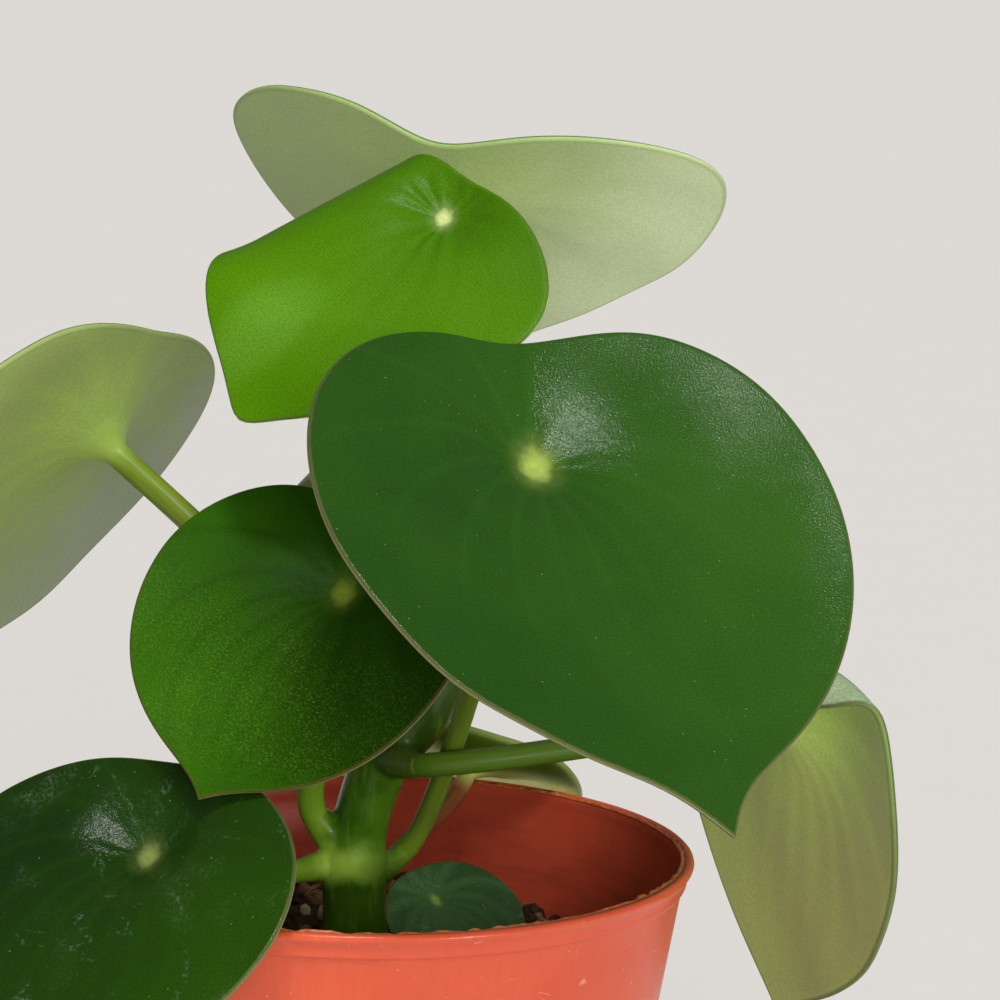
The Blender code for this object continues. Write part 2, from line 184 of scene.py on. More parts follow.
# %% Finishes
class Finish:
    """A Principled material that is wired with short calls."""

    def __init__(self, name, **numbers):
        self.material = bpy.data.materials.new(name)
        self.material.use_nodes = True
        self.tree = self.material.node_tree
        self.shader = self.tree.nodes["Principled BSDF"]
        for socket, number in numbers.items():
            self.shader.inputs[socket.replace("_", " ")].default_value = number

    def add(self, kind, inputs=None, **settings):
        node = self.tree.nodes.new("ShaderNode" + kind)
        for name, setting in settings.items():
            setattr(node, name, setting)
        for socket, value in (inputs or {}).items():
            self.feed(node.inputs[socket], value)
        return node

    def feed(self, socket, value):
        if isinstance(value, Wire):
            self.tree.links.new(value.socket, socket)
        else:
            socket.default_value = value

    def attribute(self, name, output="Fac"):
        """A measure that is kept on the points of the mesh."""
        return Wire(self, self.add("Attribute", attribute_name=name).outputs[output])

    def place(self):
        """Where the point is on the object, in millimetres."""
        spot = self.add("TexCoord").outputs["Object"]
        grown = self.add("VectorMath", {1: (1 / MM,) * 3}, operation="MULTIPLY")
        self.tree.links.new(spot, grown.inputs[0])
        return Wire(self, grown.outputs[0])

    def stretched(self, where, factors):
        scaled = self.add("VectorMath", {0: where, 1: factors}, operation="MULTIPLY")
        return Wire(self, scaled.outputs[0])

    def parts(self, where):
        split = self.add("SeparateXYZ", {0: where})
        return [Wire(self, output) for output in split.outputs]

    def noise(self, where, size, detail=2.0, roughness=0.5, distortion=0.0):
        """Soft random values round 0.5; size is the length of one blotch in millimetres."""
        node = self.add("TexNoise", {
            "Vector": where, "Scale": 1 / size, "Detail": detail, "Roughness": roughness,
            "Distortion": distortion,
        })
        return Wire(self, node.outputs[0])

    def cells(self, where, size):
        """Distance from the middle of a random cell, and a random value for each cell."""
        node = self.add("TexVoronoi", {"Vector": where, "Scale": 1 / size})
        chance = self.add("SeparateColor")
        self.tree.links.new(node.outputs["Color"], chance.inputs[0])
        return Wire(self, node.outputs["Distance"]), Wire(self, chance.outputs[0])

    def ramp(self, value, low, high, start=0.0, end=1.0):
        """A smooth change from start to end while the value goes from low to high."""
        node = self.add("MapRange", {
            "Value": value, "From Min": low, "From Max": high, "To Min": start, "To Max": end,
        }, interpolation_type="SMOOTHSTEP")
        return Wire(self, node.outputs[0])

    def mix(self, amount, first, second, blend="MIX"):
        """A colour between two others, which come from nodes or are screen colours."""
        ends = [end if isinstance(end, Wire) else tint(*end) for end in (first, second)]
        node = self.add("Mix", {0: amount, 6: ends[0], 7: ends[1]}, data_type="RGBA",
                        blend_type=blend)
        return Wire(self, node.outputs[2])

    def mottled(self, colour, where, size, dark, light):
        """The colour, darker and lighter by turns in fine specks."""
        shade = self.ramp(self.noise(where, size, roughness=0.7), 0.3, 0.7, dark, light)
        grey = self.add("CombineColor", {0: shade, 1: shade, 2: shade})
        return self.mix(1.0, colour, Wire(self, grey.outputs[0]), blend="MULTIPLY")

    def bump(self, height):
        """Tilt the shading by a height in millimetres."""
        node = self.add("Bump", {"Strength": 1.0, "Distance": MM, "Height": height})
        self.feed(self.shader.inputs["Normal"], Wire(self, node.outputs[0]))

    def colour(self, value):
        self.feed(self.shader.inputs["Base Color"], value)

    def roughness(self, value):
        self.feed(self.shader.inputs["Roughness"], value)


def length(x, y):
    """How far a point is that lies x aside and y ahead."""
    return (x * x + y * y).math("SQRT")


def toward(x, y, degrees):
    """How far a point lies in a direction, counted from ahead towards +x."""
    turn = math.radians(degrees)
    return x * math.sin(turn) + y * math.cos(turn)


print("finish helpers ready")

# %% [markdown]
# ## The floor
#
# The picture has no horizon: a pale surface runs up behind the plant. A very large pale floor does
# the same, since the camera looks slightly down. A faint grain keeps it from looking computed. It
# is only the stage, not part of the plant.

# %% The floor
FLOOR_HALF = 15000
FLOOR_TINTS = ((203, 200, 196), (205, 202, 198))


def make_floor():
    half = FLOOR_HALF * MM
    mesh = bpy.data.meshes.new("floor")
    corners = [(-half, -half, 0), (half, -half, 0), (half, half, 0), (-half, half, 0)]
    mesh.from_pydata(corners, [], [(0, 1, 2, 3)])
    floor = placed("floor", mesh)
    finish = Finish("pale_floor", Roughness=0.9, Specular_IOR_Level=0.1)
    grain = finish.noise(finish.place(), 40, detail=3)
    finish.colour(finish.mix(grain, *FLOOR_TINTS))
    mesh.materials.append(finish.material)


make_floor()
print("floor", 2 * FLOOR_HALF * MM, "m wide")

# %% [markdown]
# ## The light
#
# The highlights lie on the upper walls of the dimples, so the main light is high in front. It is a
# sun with a wide disc, which falls evenly on the whole floor. Wider suns around it stand for the
# white boards of a studio: one above, which softens the shadows, one low in front and one to the
# side. Boards this dull show no reflection, so they are kept out of glossy rays. A small lamp from
# the front right draws the thin bright line down the stem, and a dim pale sky fills the rest. Seen
# straight by a low camera, that sky is made as bright as the floor, so the room looks the same all
# round.

# %% The light
SKY_TINT = (255, 254, 251)
SKY_STRENGTH = 0.1  # as light on the plant
SKY_SEEN = 0.72  # as the camera sees it, like the floor
LIGHTS = (
    # name, heading, elevation, width of its disc, strength, whether it shows in gloss
    ("key", 4, 60, 10, 1.5, True),
    ("upper_board", 4, 62, 50, 1.5, False),
    ("front_board", 12, 12, 40, 2.1, False),
    ("front_lamp", 38, 4, 6, 0.6, True),
    ("side_board", 72, 28, 60, 0.9, False),
)


def direction(heading, elevation):
    """Unit vector that points in a compass direction, raised above level."""
    turn = math.radians(heading)
    lift = math.radians(elevation)
    level = math.cos(lift)
    return Vector((math.sin(turn) * level, -math.cos(turn) * level, math.sin(lift)))


def make_light():
    scene = bpy.context.scene
    scene.view_settings.view_transform = "Standard"
    world = bpy.data.worlds.new("sky")
    world.use_nodes = True
    sky = world.node_tree.nodes["Background"]
    sky.inputs["Color"].default_value = tint(*SKY_TINT)
    seen = world.node_tree.nodes.new("ShaderNodeLightPath").outputs["Is Camera Ray"]
    strength_of_sky = world.node_tree.nodes.new("ShaderNodeMapRange")
    strength_of_sky.inputs["To Min"].default_value = SKY_STRENGTH
    strength_of_sky.inputs["To Max"].default_value = SKY_SEEN
    world.node_tree.links.new(seen, strength_of_sky.inputs["Value"])
    world.node_tree.links.new(strength_of_sky.outputs[0], sky.inputs["Strength"])
    scene.world = world
    for name, heading, elevation, width, strength, shows in LIGHTS:
        sun = bpy.data.lights.new(name, "SUN")
        sun.energy = strength
        sun.angle = math.radians(width)
        lamp = placed(name, sun)
        lamp.visible_glossy = shows
        lamp.rotation_mode = "QUATERNION"
        lamp.rotation_quaternion = direction(heading, elevation).to_track_quat("Z", "Y")


make_light()
print(len(LIGHTS), "suns and a sky")

# %% [markdown]
# ## What a leaf is
#
# A raindrop peperomia's leaf is peltate: the stalk meets the blade on its underside, well in from
# the margin, and the place shows above as a pale navel. The blade is a rounded heart with a drawn
# out tip. One description in real lengths serves all ten leaves, and its values follow the frame's
# solids to within half a millimetre: the outline round the navel, the line that the blade is bent
# over, where the upper face looks, and where the stalk leaves the stem.

# %% The measures of a leaf
@dataclass(frozen=True)
class Leaf:
    """A peltate leaf, drawn flat with x to its side and y to its tip, the navel at 0."""

    name: str
    navel: tuple  # where the middle of the upper face is
    heading: float  # direction that the upper face looks in
    rise: float  # how far the upper face looks up
    spin: float  # turn of the tip away from straight downhill
    reach: float  # navel to tip
    back: float  # navel to the rear margin, without the sinus
    half_width: float
    middle: float  # the widest line is this far ahead of the navel
    root: tuple  # where the stalk's line meets the middle of the stem, or the soil
    start: tuple  # heading and elevation of the stalk there
    sleeve: float  # length of that line which belongs to the stem
    handles: tuple  # how far the stalk keeps its direction at its two ends
    thickness: float = 4.2  # of the stalk
    fullness: float = 1.8  # 2 gives an elliptic front, less a narrower one
    sinus: float = 0.15  # depth of the notch at the back, as a share of the radius there
    drip: float = 8.0  # length of the drawn out tip
    sway: float = 0.0  # sideways sweep of the tip
    aside: float = 0.0  # how far the whole blade sits to the side of its navel
    sinus_at: float = 0.0  # turn of the sinus away from straight back
    ridge: float = 0.0  # turn of the line that the blade is bent over, from the midrib
    fold: float = 0.0  # how far the blade bends over that line, down if positive
    softness: float = 25.0  # width of the bend
    fold_at: float = 0.0  # its distance from the navel
    curl: float = 0.0  # droop along the ridge, in 1/m
    dimple: float = 3.0  # how deep the navel is sunk
    wrinkle: float = 0.05  # height of the creases round the navel
    funnel: float = 1.2  # extra depth of the dimple at the navel
    wave: float = 0.0  # height of a soft swelling across the blade, near the tip
    valley: float = 1.5  # depth of the fold between the navel and the sinus
    blunt: float = 0.0  # rounding of the drip tip
    sectors: int = 160  # points round each ring of its skin


print("a leaf has", len(Leaf.__dataclass_fields__) - 1, "measures")

# %% [markdown]
# ## The ten leaves
#
# No two leaves of a plant are alike, so each has its own row. Where a leaf shows in the picture,
# its outline gives its length and width, and how much it looks shortened gives its tilt. Parts
# that are hidden follow from the leaf's own symmetry.

# %% The ten leaves
LEAVES = (
    Leaf(
        "leaf_front_large", navel=(30.2, -50, 175.3), heading=31, rise=47.5, spin=1,
        reach=81.5, back=33.5, half_width=48.5, middle=16.5, fullness=1.9, sinus=0.185, drip=12.8,
        sway=-0.015, aside=0.7, sinus_at=6.5, ridge=-17, fold=-27, softness=21, fold_at=-12.5,
        curl=-0.6, root=(-1.0, 0.2, 86), start=(103, 40), sleeve=11, handles=(10.6, 5.0),
        thickness=3.8, sectors=200,
    ),
    Leaf(
        "leaf_front_left", navel=(-3.9, -22, 147), heading=-25, rise=41.5, spin=13,
        reach=46.5, back=21.4, half_width=33, middle=7.2, fullness=2.0, sinus=0.2, drip=4.8,
        sway=0.02, sinus_at=-6, ridge=-16.5, fold=-31, softness=25, fold_at=-2.7, curl=2.8,
        root=(-1.3, 0, 91.5), start=(-75, 51), sleeve=11, handles=(9.5, 16), thickness=5.0,
    ),
    Leaf(
        "leaf_low_left", navel=(-37.1, -40.6, 104.2), heading=-32, rise=46, spin=1.5,
        reach=57.4, back=18.5, half_width=37.2, middle=12, sinus=0.06, drip=8.5, aside=-0.3,
        sinus_at=-9, ridge=-10, fold=-5, softness=28, curl=2.1,
        root=(-1.4, 0, 92.5), start=(-66, -7), sleeve=9.5, handles=(12, 9), thickness=4.3,
        funnel=2.4,
    ),
    Leaf(
        "leaf_folded", navel=(12.0, -6.5, 212.8), heading=-19, rise=39.5, spin=31,
        reach=53, back=9.7, half_width=34, middle=10, sinus=0.09, drip=5, sway=-0.06,
        aside=1.4, ridge=20.5, fold=90, softness=9, fold_at=15.5, curl=1.0,
        root=(14.2, 3.4, 134), start=(-25, 66), sleeve=11, handles=(32, 26),
        wrinkle=0.16, wave=2.2, blunt=0.08, sectors=180,
    ),
    Leaf(
        "leaf_top_back", navel=(13.3, 38, 210.3), heading=156, rise=51.5, spin=-9.4,
        reach=61, back=22.9, half_width=50.6, middle=8.2, fullness=1.89, sinus=0.2, drip=7.5,
        aside=-0.3, sinus_at=2.4, ridge=-12.8, fold=-39.5, softness=16.3, fold_at=2.1, curl=-0.4,
        root=(14.0, 3.4, 133), start=(165, 58), sleeve=10, handles=(30, 26), valley=0.0,
    ),
    Leaf(
        "leaf_left_back", navel=(-52.9, 30, 165.9), heading=-122.8, rise=34, spin=-14.9,
        reach=64.9, back=27, half_width=44.9, middle=10.3, fullness=1.77, sinus=0.095, drip=7.5,
        aside=-0.2, sinus_at=1.3, ridge=75.8, fold=12, softness=28.9, fold_at=-0.5, curl=-1.9,
        root=(5.2, 0.6, 113.5), start=(-112, 48), sleeve=9.5, handles=(29, 7), thickness=4.8,
    ),
    Leaf(
        "leaf_right_hanging", navel=(79.1, 18, 118.4), heading=117.7, rise=10, spin=-17,
        reach=70.8, back=33.3, half_width=39.1, middle=7.2, fullness=1.7, sinus=0.14, drip=7.5,
        sway=-0.05, aside=0.8, ridge=98.8, fold=129, softness=3.6, fold_at=15, curl=5.7,
        root=(5.2, -3.2, 112.0), start=(27, 7.4), sleeve=8.5, handles=(15.2, 4), thickness=4.4,
        sectors=200,
    ),
    Leaf(
        "leaf_low_back", navel=(20.3, 50, 101.5), heading=150.3, rise=50.4, spin=-32,
        reach=42, back=15.2, half_width=18.4, middle=11.3, sinus=0.16, aside=4.5,
        ridge=-74.3, fold=-22, curl=2.1,
        root=(-1.0, 0.4, 82.8), start=(135, 42), sleeve=11, handles=(12, 16), thickness=3.4,
        sectors=120,
    ),
    Leaf(
        "leaf_small_front", navel=(14.4, -28, 93), heading=31, rise=49.2, spin=-11.2,
        reach=18.9, back=7.8, half_width=13.6, middle=5, sinus=0.05, drip=2, aside=-1.2,
        ridge=5, fold=12.3, softness=28, curl=3.3, dimple=1.0,
        root=(18.6, -17, 67), start=(-12, 68), sleeve=0, handles=(12, 7), thickness=2.4,
        wrinkle=0.03, sectors=96,
    ),
    Leaf(
        "leaf_young", navel=(-9.5, 2, 164.5), heading=-80, rise=40, spin=5,
        reach=13, back=7.5, half_width=9, middle=2, sinus=0.1, drip=2.5,
        ridge=0, fold=35, softness=8, dimple=0.8,
        root=(13.4, 3.2, 130.5), start=(-100, 45), sleeve=8, handles=(9, 7), thickness=2.6,
        wrinkle=0.03, sectors=72,
    ),
)
print(len(LEAVES), "leaves,", max(leaf.reach + leaf.back for leaf in LEAVES), "mm the longest")

# %% [markdown]
# ## The flat outline
#
# The outline is a formula: a half ellipse behind the widest line, a slightly narrower curve in
# front of it, a drawn out tip and a shallow sinus at the back. A formula keeps the margin smooth
# at any fineness, and a few lengths bring it to each leaf.

# %% The flat outline
SINUS_WIDTH = 0.5
DRIP_WIDTH = 0.13


def margin(leaf, angles):
    """The flat blade's margin, for angles from the midrib round the blade's middle."""
    ahead = np.cos(angles)
    aside = np.sin(angles)
    front = leaf.reach - leaf.drip - leaf.middle
    length = np.where(ahead > 0, front, leaf.back + leaf.middle)
    power = np.where(ahead > 0, leaf.fullness, 2.0)
    spread = np.abs(aside / leaf.half_width) ** power + np.abs(ahead / length) ** power
    radius = spread ** (-1 / power)
    from_tip = np.hypot(angles, leaf.blunt) - leaf.blunt
    radius = radius + leaf.drip * np.exp(-from_tip / DRIP_WIDTH)
    from_sinus = np.abs((angles - math.radians(leaf.sinus_at)) % (2 * math.pi) - math.pi)
    radius = radius * (1 - leaf.sinus * np.exp(-((from_sinus / SINUS_WIDTH) ** 2)))
    y = leaf.middle + radius * ahead
    sweep = leaf.sway * leaf.reach * np.clip(y / leaf.reach, 0, None) ** 3
    x = radius * aside + sweep + leaf.aside
    return x, y


largest = margin(LEAVES[0], np.linspace(-math.pi, math.pi, 721))[0]
print("the large front leaf is", round(largest.max() - largest.min(), 1), "mm wide")

# %% [markdown]
# ## The bend
#
# The flat blade is carried round a soft fold, as a sheet of card bends, which keeps every length
# true. Across the fold the slope follows a smooth step, and adding up its small steps in a table
# gives the way and the height. A dimple sinks the navel, because the stalk pulls the blade in
# there.

# %% The bend
DIMPLE_WIDTH = 12.0
FOLD_TABLE = np.linspace(-140, 140, 561)


def bend(leaf, across):
    """Carry distances across the ridge round the fold: sideways travel and height."""
    half = math.radians(leaf.fold) / 2
    settle = math.tanh(leaf.fold_at / leaf.softness)
    slope = half * (np.tanh((FOLD_TABLE - leaf.fold_at) / leaf.softness) + settle)
    step = FOLD_TABLE[1] - FOLD_TABLE[0]
    middle = (slope[1:] + slope[:-1]) / 2
    travel = np.concatenate([[0], np.cumsum(np.cos(middle) * step)])
    height = np.concatenate([[0], np.cumsum(-np.sin(middle) * step)])
    travel = travel - np.interp(0, FOLD_TABLE, travel)
    height = height - np.interp(0, FOLD_TABLE, height)
    return np.interp(across, FOLD_TABLE, travel), np.interp(across, FOLD_TABLE, height)


def bent(leaf, x, y):
    """The upper face's points in the leaf's own axes: side, tip and up."""
    turn = math.radians(leaf.ridge)
    along = x * math.sin(turn) + y * math.cos(turn)
    across = x * math.cos(turn) - y * math.sin(turn)
    travel, height = bend(leaf, across)
    curl = (leaf.curl or 1e-6) * MM
    forward = np.sin(curl * along) / curl
    height = height - (1 - np.cos(curl * along)) / curl
    from_navel = np.hypot(x, y) / DIMPLE_WIDTH
    height = height + leaf.dimple * (1 - np.exp(-(from_navel**2)))
    side = forward * math.sin(turn) + travel * math.cos(turn)
    tip = forward * math.cos(turn) - travel * math.sin(turn)
    return np.stack([side, tip, height], -1)


def leaf_axes(leaf):
    """The directions of the blade's side, tip and upper face in the plant."""
    turn = math.radians(leaf.heading)
    lift = math.radians(leaf.rise)
    level_out = np.array([math.sin(turn), -math.cos(turn), 0.0])
    vertical = np.array([0.0, 0.0, 1.0])
    up = level_out * math.cos(lift) + vertical * math.sin(lift)
    down = level_out * math.sin(lift) - vertical * math.cos(lift)
    level = np.cross(down, up)
    spin = math.radians(leaf.spin)
    tip = math.cos(spin) * down + math.sin(spin) * level
    return np.stack([np.cross(tip, up), tip, up])


deepest = max(LEAVES, key=lambda leaf: abs(leaf.fold))
print(deepest.name, "is folded most, by", deepest.fold, "degrees")

# %% [markdown]
# ## Small forms on the blade
#
# Close to, the blade isn't smooth. Its veins fan out from the navel and run together at the tip,
# like circles through those two points: shallow grooves above, soft ridges below. The fleshy blade
# swells a little between them, and creases where the stalk pulls on it.

# %% Relief of the blade
VEIN_TURN = 0.42  # angle between neighbouring veins at the navel
VEIN_FADE = 45.0
GROOVE_DEPTH = 0.05
RIB_HEIGHT = 0.14
GROOVE_WIDTH = 1.1
RIB_WIDTH = 1.6
NAVEL_CLEAR = 4.0  # the veins rise over this distance from the navel
SWELL_HEIGHT = 0.35
SWELL_CLEAR = 15.0  # and the swellings over this one
BROAD_SWELL = (9.1, 12.3)  # how slowly a swelling rises and falls, aside and ahead
FINE_SWELL = (5.2, 7.7)
FINE_SHARE = 0.6
FULL_SWELL_REACH = 60.0  # a shorter leaf swells less
CREASES = 11
CREASE_RING = (6.5, 3.2)  # distance from the navel, and width, of the creased ring
FUNNEL_WIDTH = 9.0
VALLEY_WIDTH = 9.0
VALLEY_START = 6.0
WAVE_SPAN = (0.42, 1.0)  # shares of the reach where the wave rises and ends


def vein_distance(leaf, x, y):
    """How far a point of the flat blade is from the nearest vein."""
    ahead = leaf.reach - y
    turn = np.arctan2(x, y) + np.arctan2(x, ahead)
    off = np.abs((turn + VEIN_TURN / 2) % VEIN_TURN - VEIN_TURN / 2)
    return off * np.hypot(x, y) * np.hypot(x, ahead) / leaf.reach


def relief(leaf, x, y):
    """Heights in mm that both faces share, that only the upper has, and only the lower."""
    from_navel = np.hypot(x, y)
    fade = np.exp(-from_navel / VEIN_FADE) * (1 - np.exp(-from_navel / NAVEL_CLEAR))
    off = vein_distance(leaf, x, y)
    phase = len(leaf.name) + leaf.reach  # so that no two leaves swell alike
    broad = np.sin(x / BROAD_SWELL[0] + phase) * np.sin(y / BROAD_SWELL[1] + 2 * phase)
    fine = np.sin(x / FINE_SWELL[0] - y / FINE_SWELL[1] + 3 * phase)
    clear = 1 - np.exp(-((from_navel / SWELL_CLEAR) ** 2))
    swell = SWELL_HEIGHT * (broad + FINE_SHARE * fine) * clear
    funnel = leaf.funnel * np.exp(-((from_navel / FUNNEL_WIDTH) ** 2))
    behind = np.clip((VALLEY_START - y) / (VALLEY_START + leaf.back), 0, 1)
    valley = leaf.valley * np.sin(math.pi * behind) * np.exp(-((x / VALLEY_WIDTH) ** 2))
    swell = (swell - funnel - valley) * min(1.0, leaf.reach / FULL_SWELL_REACH)
    low, high = WAVE_SPAN
    along = np.clip((y / leaf.reach - low) / (high - low), 0, 1)
    swell = swell + leaf.wave * np.sin(math.pi * along) ** 2
    groove = -GROOVE_DEPTH * fade * np.exp(-((off / GROOVE_WIDTH) ** 2))
    turn = np.arctan2(x, y)
    distance, width = CREASE_RING
    ring = np.exp(-(((from_navel - distance) / width) ** 2))
    crease = leaf.wrinkle * ring * np.sin(CREASES * turn + 1.7 * np.sin(3 * turn + phase))
    rib = -RIB_HEIGHT * fade * np.exp(-((off / RIB_WIDTH) ** 2))
    return swell, groove + crease, rib


print("veins at the navel:", round(2 * math.pi / VEIN_TURN))

# %% [markdown]
# ## One closed skin from blade to stalk
#
# Leaf and stalk grew as one piece, so they are made as one skin. Rings of points run outward over
# the upper face to the rounded margin, back in under the blade, round a fillet and down the stalk.
# Every ring has the same number of points, so one loop makes all the faces, and there is no seam
# to hide. First come the two faces of the blade, a half thickness either side of its middle and
# closed by a round margin.

# %% The two faces of the blade
MIDDLE_THICKNESS = 1.7
EDGE_THICKNESS = 0.95
EDGE_BAND = 0.65
EDGE_STEPS = (0.78, 0.56, 0.36, 0.2, 0.09, 0.02, 0.0)  # shares of the band, to the margin
MARGIN_POINTS = 4000
MARGIN_FADE = 1.2  # the veins and creases run out over this distance from the margin
SLOPE_STEP = 0.2  # how far apart the points are that give the slope of the blade
HEART_RINGS = 12
HEART_SHARE = 0.55  # of the shortest way to the margin
BLADE_SPACING = 2.0
FEWEST_RINGS = 6


def ring_distances(leaf, reach):
    """Distances from the navel, ring by ring, along each ray to the margin."""
    heart = HEART_SHARE * reach.min()
    inner = np.linspace(0, heart, HEART_RINGS + 1)[1:, None] * np.ones_like(reach)
    count = max(FEWEST_RINGS, int((reach.max() - heart) / BLADE_SPACING))
    share = np.linspace(0, 1, count + 1)[1:, None]
    outer = heart + (reach - EDGE_BAND - heart) * share
    edge = reach - EDGE_BAND * np.array(EDGE_STEPS)[:, None]
    return np.concatenate([inner, outer, edge])


def margin_distance(leaf, x, y):
    """How far points of the flat blade are from its margin."""
    border = np.stack(margin(leaf, np.linspace(-math.pi, math.pi, MARGIN_POINTS)), -1)
    tree = KDTree(len(border))
    for index, (across, ahead) in enumerate(border):
        tree.insert((across, ahead, 0), index)
    tree.balance()
    found = [tree.find((across, ahead, 0))[2] for across, ahead in zip(x.ravel(), y.ravel())]
    return np.array(found).reshape(x.shape)


def faces_at(leaf, x, y):
    """Both faces over points of the flat blade, its normal and the distance to the margin."""
    inside = margin_distance(leaf, x, y)
    surface = bent(leaf, x, y)
    sideways = bent(leaf, x + SLOPE_STEP, y) - bent(leaf, x - SLOPE_STEP, y)
    forwards = bent(leaf, x, y + SLOPE_STEP) - bent(leaf, x, y - SLOPE_STEP)
    normal = np.cross(sideways, forwards)
    normal = normal / np.linalg.norm(normal, axis=-1, keepdims=True)
    share = np.clip(np.hypot(x, y) / leaf.reach, 0, 1)
    half = (MIDDLE_THICKNESS + (EDGE_THICKNESS - MIDDLE_THICKNESS) * share) / 2
    short = np.clip(half - inside, 0, None)
    rounded = np.sqrt(np.clip(half**2 - short**2, 0, None))
    swell, above, below = relief(leaf, x, y)
    fall = 1 - np.exp(-inside / MARGIN_FADE)
    middle = surface - normal * half[..., None]
    upper = middle + normal * (rounded + swell + above * fall)[..., None]
    lower = middle - normal * (rounded - swell - below * fall)[..., None]
    return upper, lower, normal, inside


print("the blade is", MIDDLE_THICKNESS, "mm thick in the middle,", EDGE_THICKNESS, "at the margin")

# %% [markdown]
# ## The line of a stalk
#
# A stalk leaves the stem in one direction and meets the blade square from below, so its middle
# line is a Bezier curve with a handle at either end. At the stem it runs on a little way into its
# socket, so that no gap can open between them.

# %% The line of a stalk
STALK_POINTS = 401
STALK_TOP = 0.55  # depth of the stalk's end in the blade, as a share of the thickness there
SOCKET_GAP = 0.4  # between the sleeve of the stem and the stalk's own length
STALK_OVERLAP = 0.55  # share of its socket on the stem that the stalk reaches into
SOIL_OVERLAP = 0.2  # where the stalk has no socket
OVERLAP_POINTS = 12


def stalk_curve(leaf, axes):
    """The stalk's middle line from the blade to its socket, with its tangents and lengths."""
    leaving = np.array(direction(*leaf.start))
    gap = SOCKET_GAP if leaf.sleeve else 0.0
    first = np.array(leaf.root, float) + leaving * (leaf.sleeve + gap)
    last = np.array(leaf.navel, float) - axes[2] * MIDDLE_THICKNESS * STALK_TOP
    near = first + leaving * leaf.handles[0]
    far = last - axes[2] * leaf.handles[1]
    t = np.linspace(1, 0, STALK_POINTS)[:, None]
    s = 1 - t
    line = first * s**3 + near * 3 * s * s * t + far * 3 * s * t * t + last * t**3
    overlap = STALK_OVERLAP * leaf.sleeve or SOIL_OVERLAP
    deeper = np.linspace(0, overlap, OVERLAP_POINTS)[1:, None]
    line = np.vstack([line, first - leaving * deeper])
    run = np.concatenate([[0], np.cumsum(np.linalg.norm(np.diff(line, axis=0), axis=1))])
    return line, run


lengths = [stalk_curve(leaf, leaf_axes(leaf))[1][-1] for leaf in LEAVES]
print("stalks from", round(min(lengths), 1), "to", round(max(lengths), 1), "mm long")

# %% [markdown]
# ## All the rings of a leaf
#
# The rings of the upper face and of the margin are there already. Below, they run in as far as the
# fillet, whose rings pass from the blade to the stalk along a quarter round, and then down the
# stalk. Three measures are kept on the points for the finishes: the place on the flat leaf, the
# way along the stalk and the distance from the margin.

# %% All the rings of a leaf
FILLET_RINGS = 7
FILLET_WIDTH = 4.5
FILLET_HEIGHT = 4.5
FILLET_LIMIT = 0.75  # of the shortest way to the margin
FILLET_TOP = 0.45  # depth of its first ring in the blade, as a share of the thickness there
RING_CLEARANCE = 0.2  # between the fillet and the next ring of the underside
USUAL_STALK = 4.2  # the thickness that the fillet's height is meant for
STALK_SPACING = 1.6
NO_MARGIN = 20.0  # margin distance of the points on the stalk


def leaf_rings(leaf):
    """The rings of a leaf's skin: points, flat places, margin distances; and how many are above."""
    axes = leaf_axes(leaf)
    angles = np.linspace(-math.pi, math.pi, leaf.sectors + 1)[:-1]
    rim = np.stack(margin(leaf, angles))
    reach = np.hypot(*rim)
    ray = rim / reach
    run = ring_distances(leaf, reach)
    upper, lower, normal, inside = faces_at(leaf, run * ray[0], run * ray[1])
    flat = np.stack([run * ray[0], run * ray[1], np.zeros_like(run)], -1)

    stalk_radius = leaf.thickness / 2
    fillet_radius = min(stalk_radius + FILLET_WIDTH, FILLET_LIMIT * reach.min())
    fillet_height = FILLET_HEIGHT * leaf.thickness / USUAL_STALK
    keep = np.flatnonzero(run.min(1) > fillet_radius + RING_CLEARANCE)
    keep = keep[keep < len(run) - 1][::-1]

    line, length = stalk_curve(leaf, axes)
    navel = np.array(leaf.navel, float)
    spokes = ray[0][:, None] * axes[0] + ray[1][:, None] * axes[1]
    rings = list(upper @ axes + navel)
    places = list(flat)
    margins = list(inside)
    above = len(rings)
    for index in keep:
        rings.append(lower[index] @ axes + navel)
        places.append(flat[index])
        margins.append(inside[index])

    depth = MIDDLE_THICKNESS * FILLET_TOP
    on_stalk = np.full(leaf.sectors, NO_MARGIN)
    for step in range(FILLET_RINGS + 1):
        q = step / FILLET_RINGS
        radius = stalk_radius + (fillet_radius - stalk_radius) * (1 - math.sin(q * math.pi / 2))
        height = fillet_height * (1 - math.cos(q * math.pi / 2))
        _, under, facing, _ = faces_at(leaf, radius * ray[0], radius * ray[1])
        spread = (under - facing * height) @ axes + navel
        where = [np.interp(depth + height, length, line[:, axis]) for axis in range(3)]
        column = np.array(where) + spokes * radius
        blend = q * q
        rings.append(spread * (1 - blend) + column * blend)
        raised = np.full(leaf.sectors, height)
        places.append(np.stack([radius * ray[0], radius * ray[1], raised], -1))
        margins.append(on_stalk)

    total = length[-1]
    start = depth + fillet_height
    count = int((total - start) / STALK_SPACING)
    side = spokes
    for where in np.linspace(start, total, count + 1)[1:]:
        point = np.array([np.interp(where, length, line[:, axis]) for axis in range(3)])
        ahead = np.array([np.interp(where - 0.5, length, line[:, axis]) for axis in range(3)])
        along = (point - ahead) / np.linalg.norm(point - ahead)
        side = side - (side @ along)[:, None] * along
        side = side / np.linalg.norm(side, axis=1, keepdims=True)
        rings.append(point + side * stalk_radius)
        along_it = np.full(leaf.sectors, where)
        places.append(np.stack([side @ axes[0] * 3, side @ axes[1] * 3, along_it], -1))
        margins.append(on_stalk)
    return rings, places, margins, above


print(LEAVES[-1].name, "has", len(leaf_rings(LEAVES[-1])[0]), "rings")

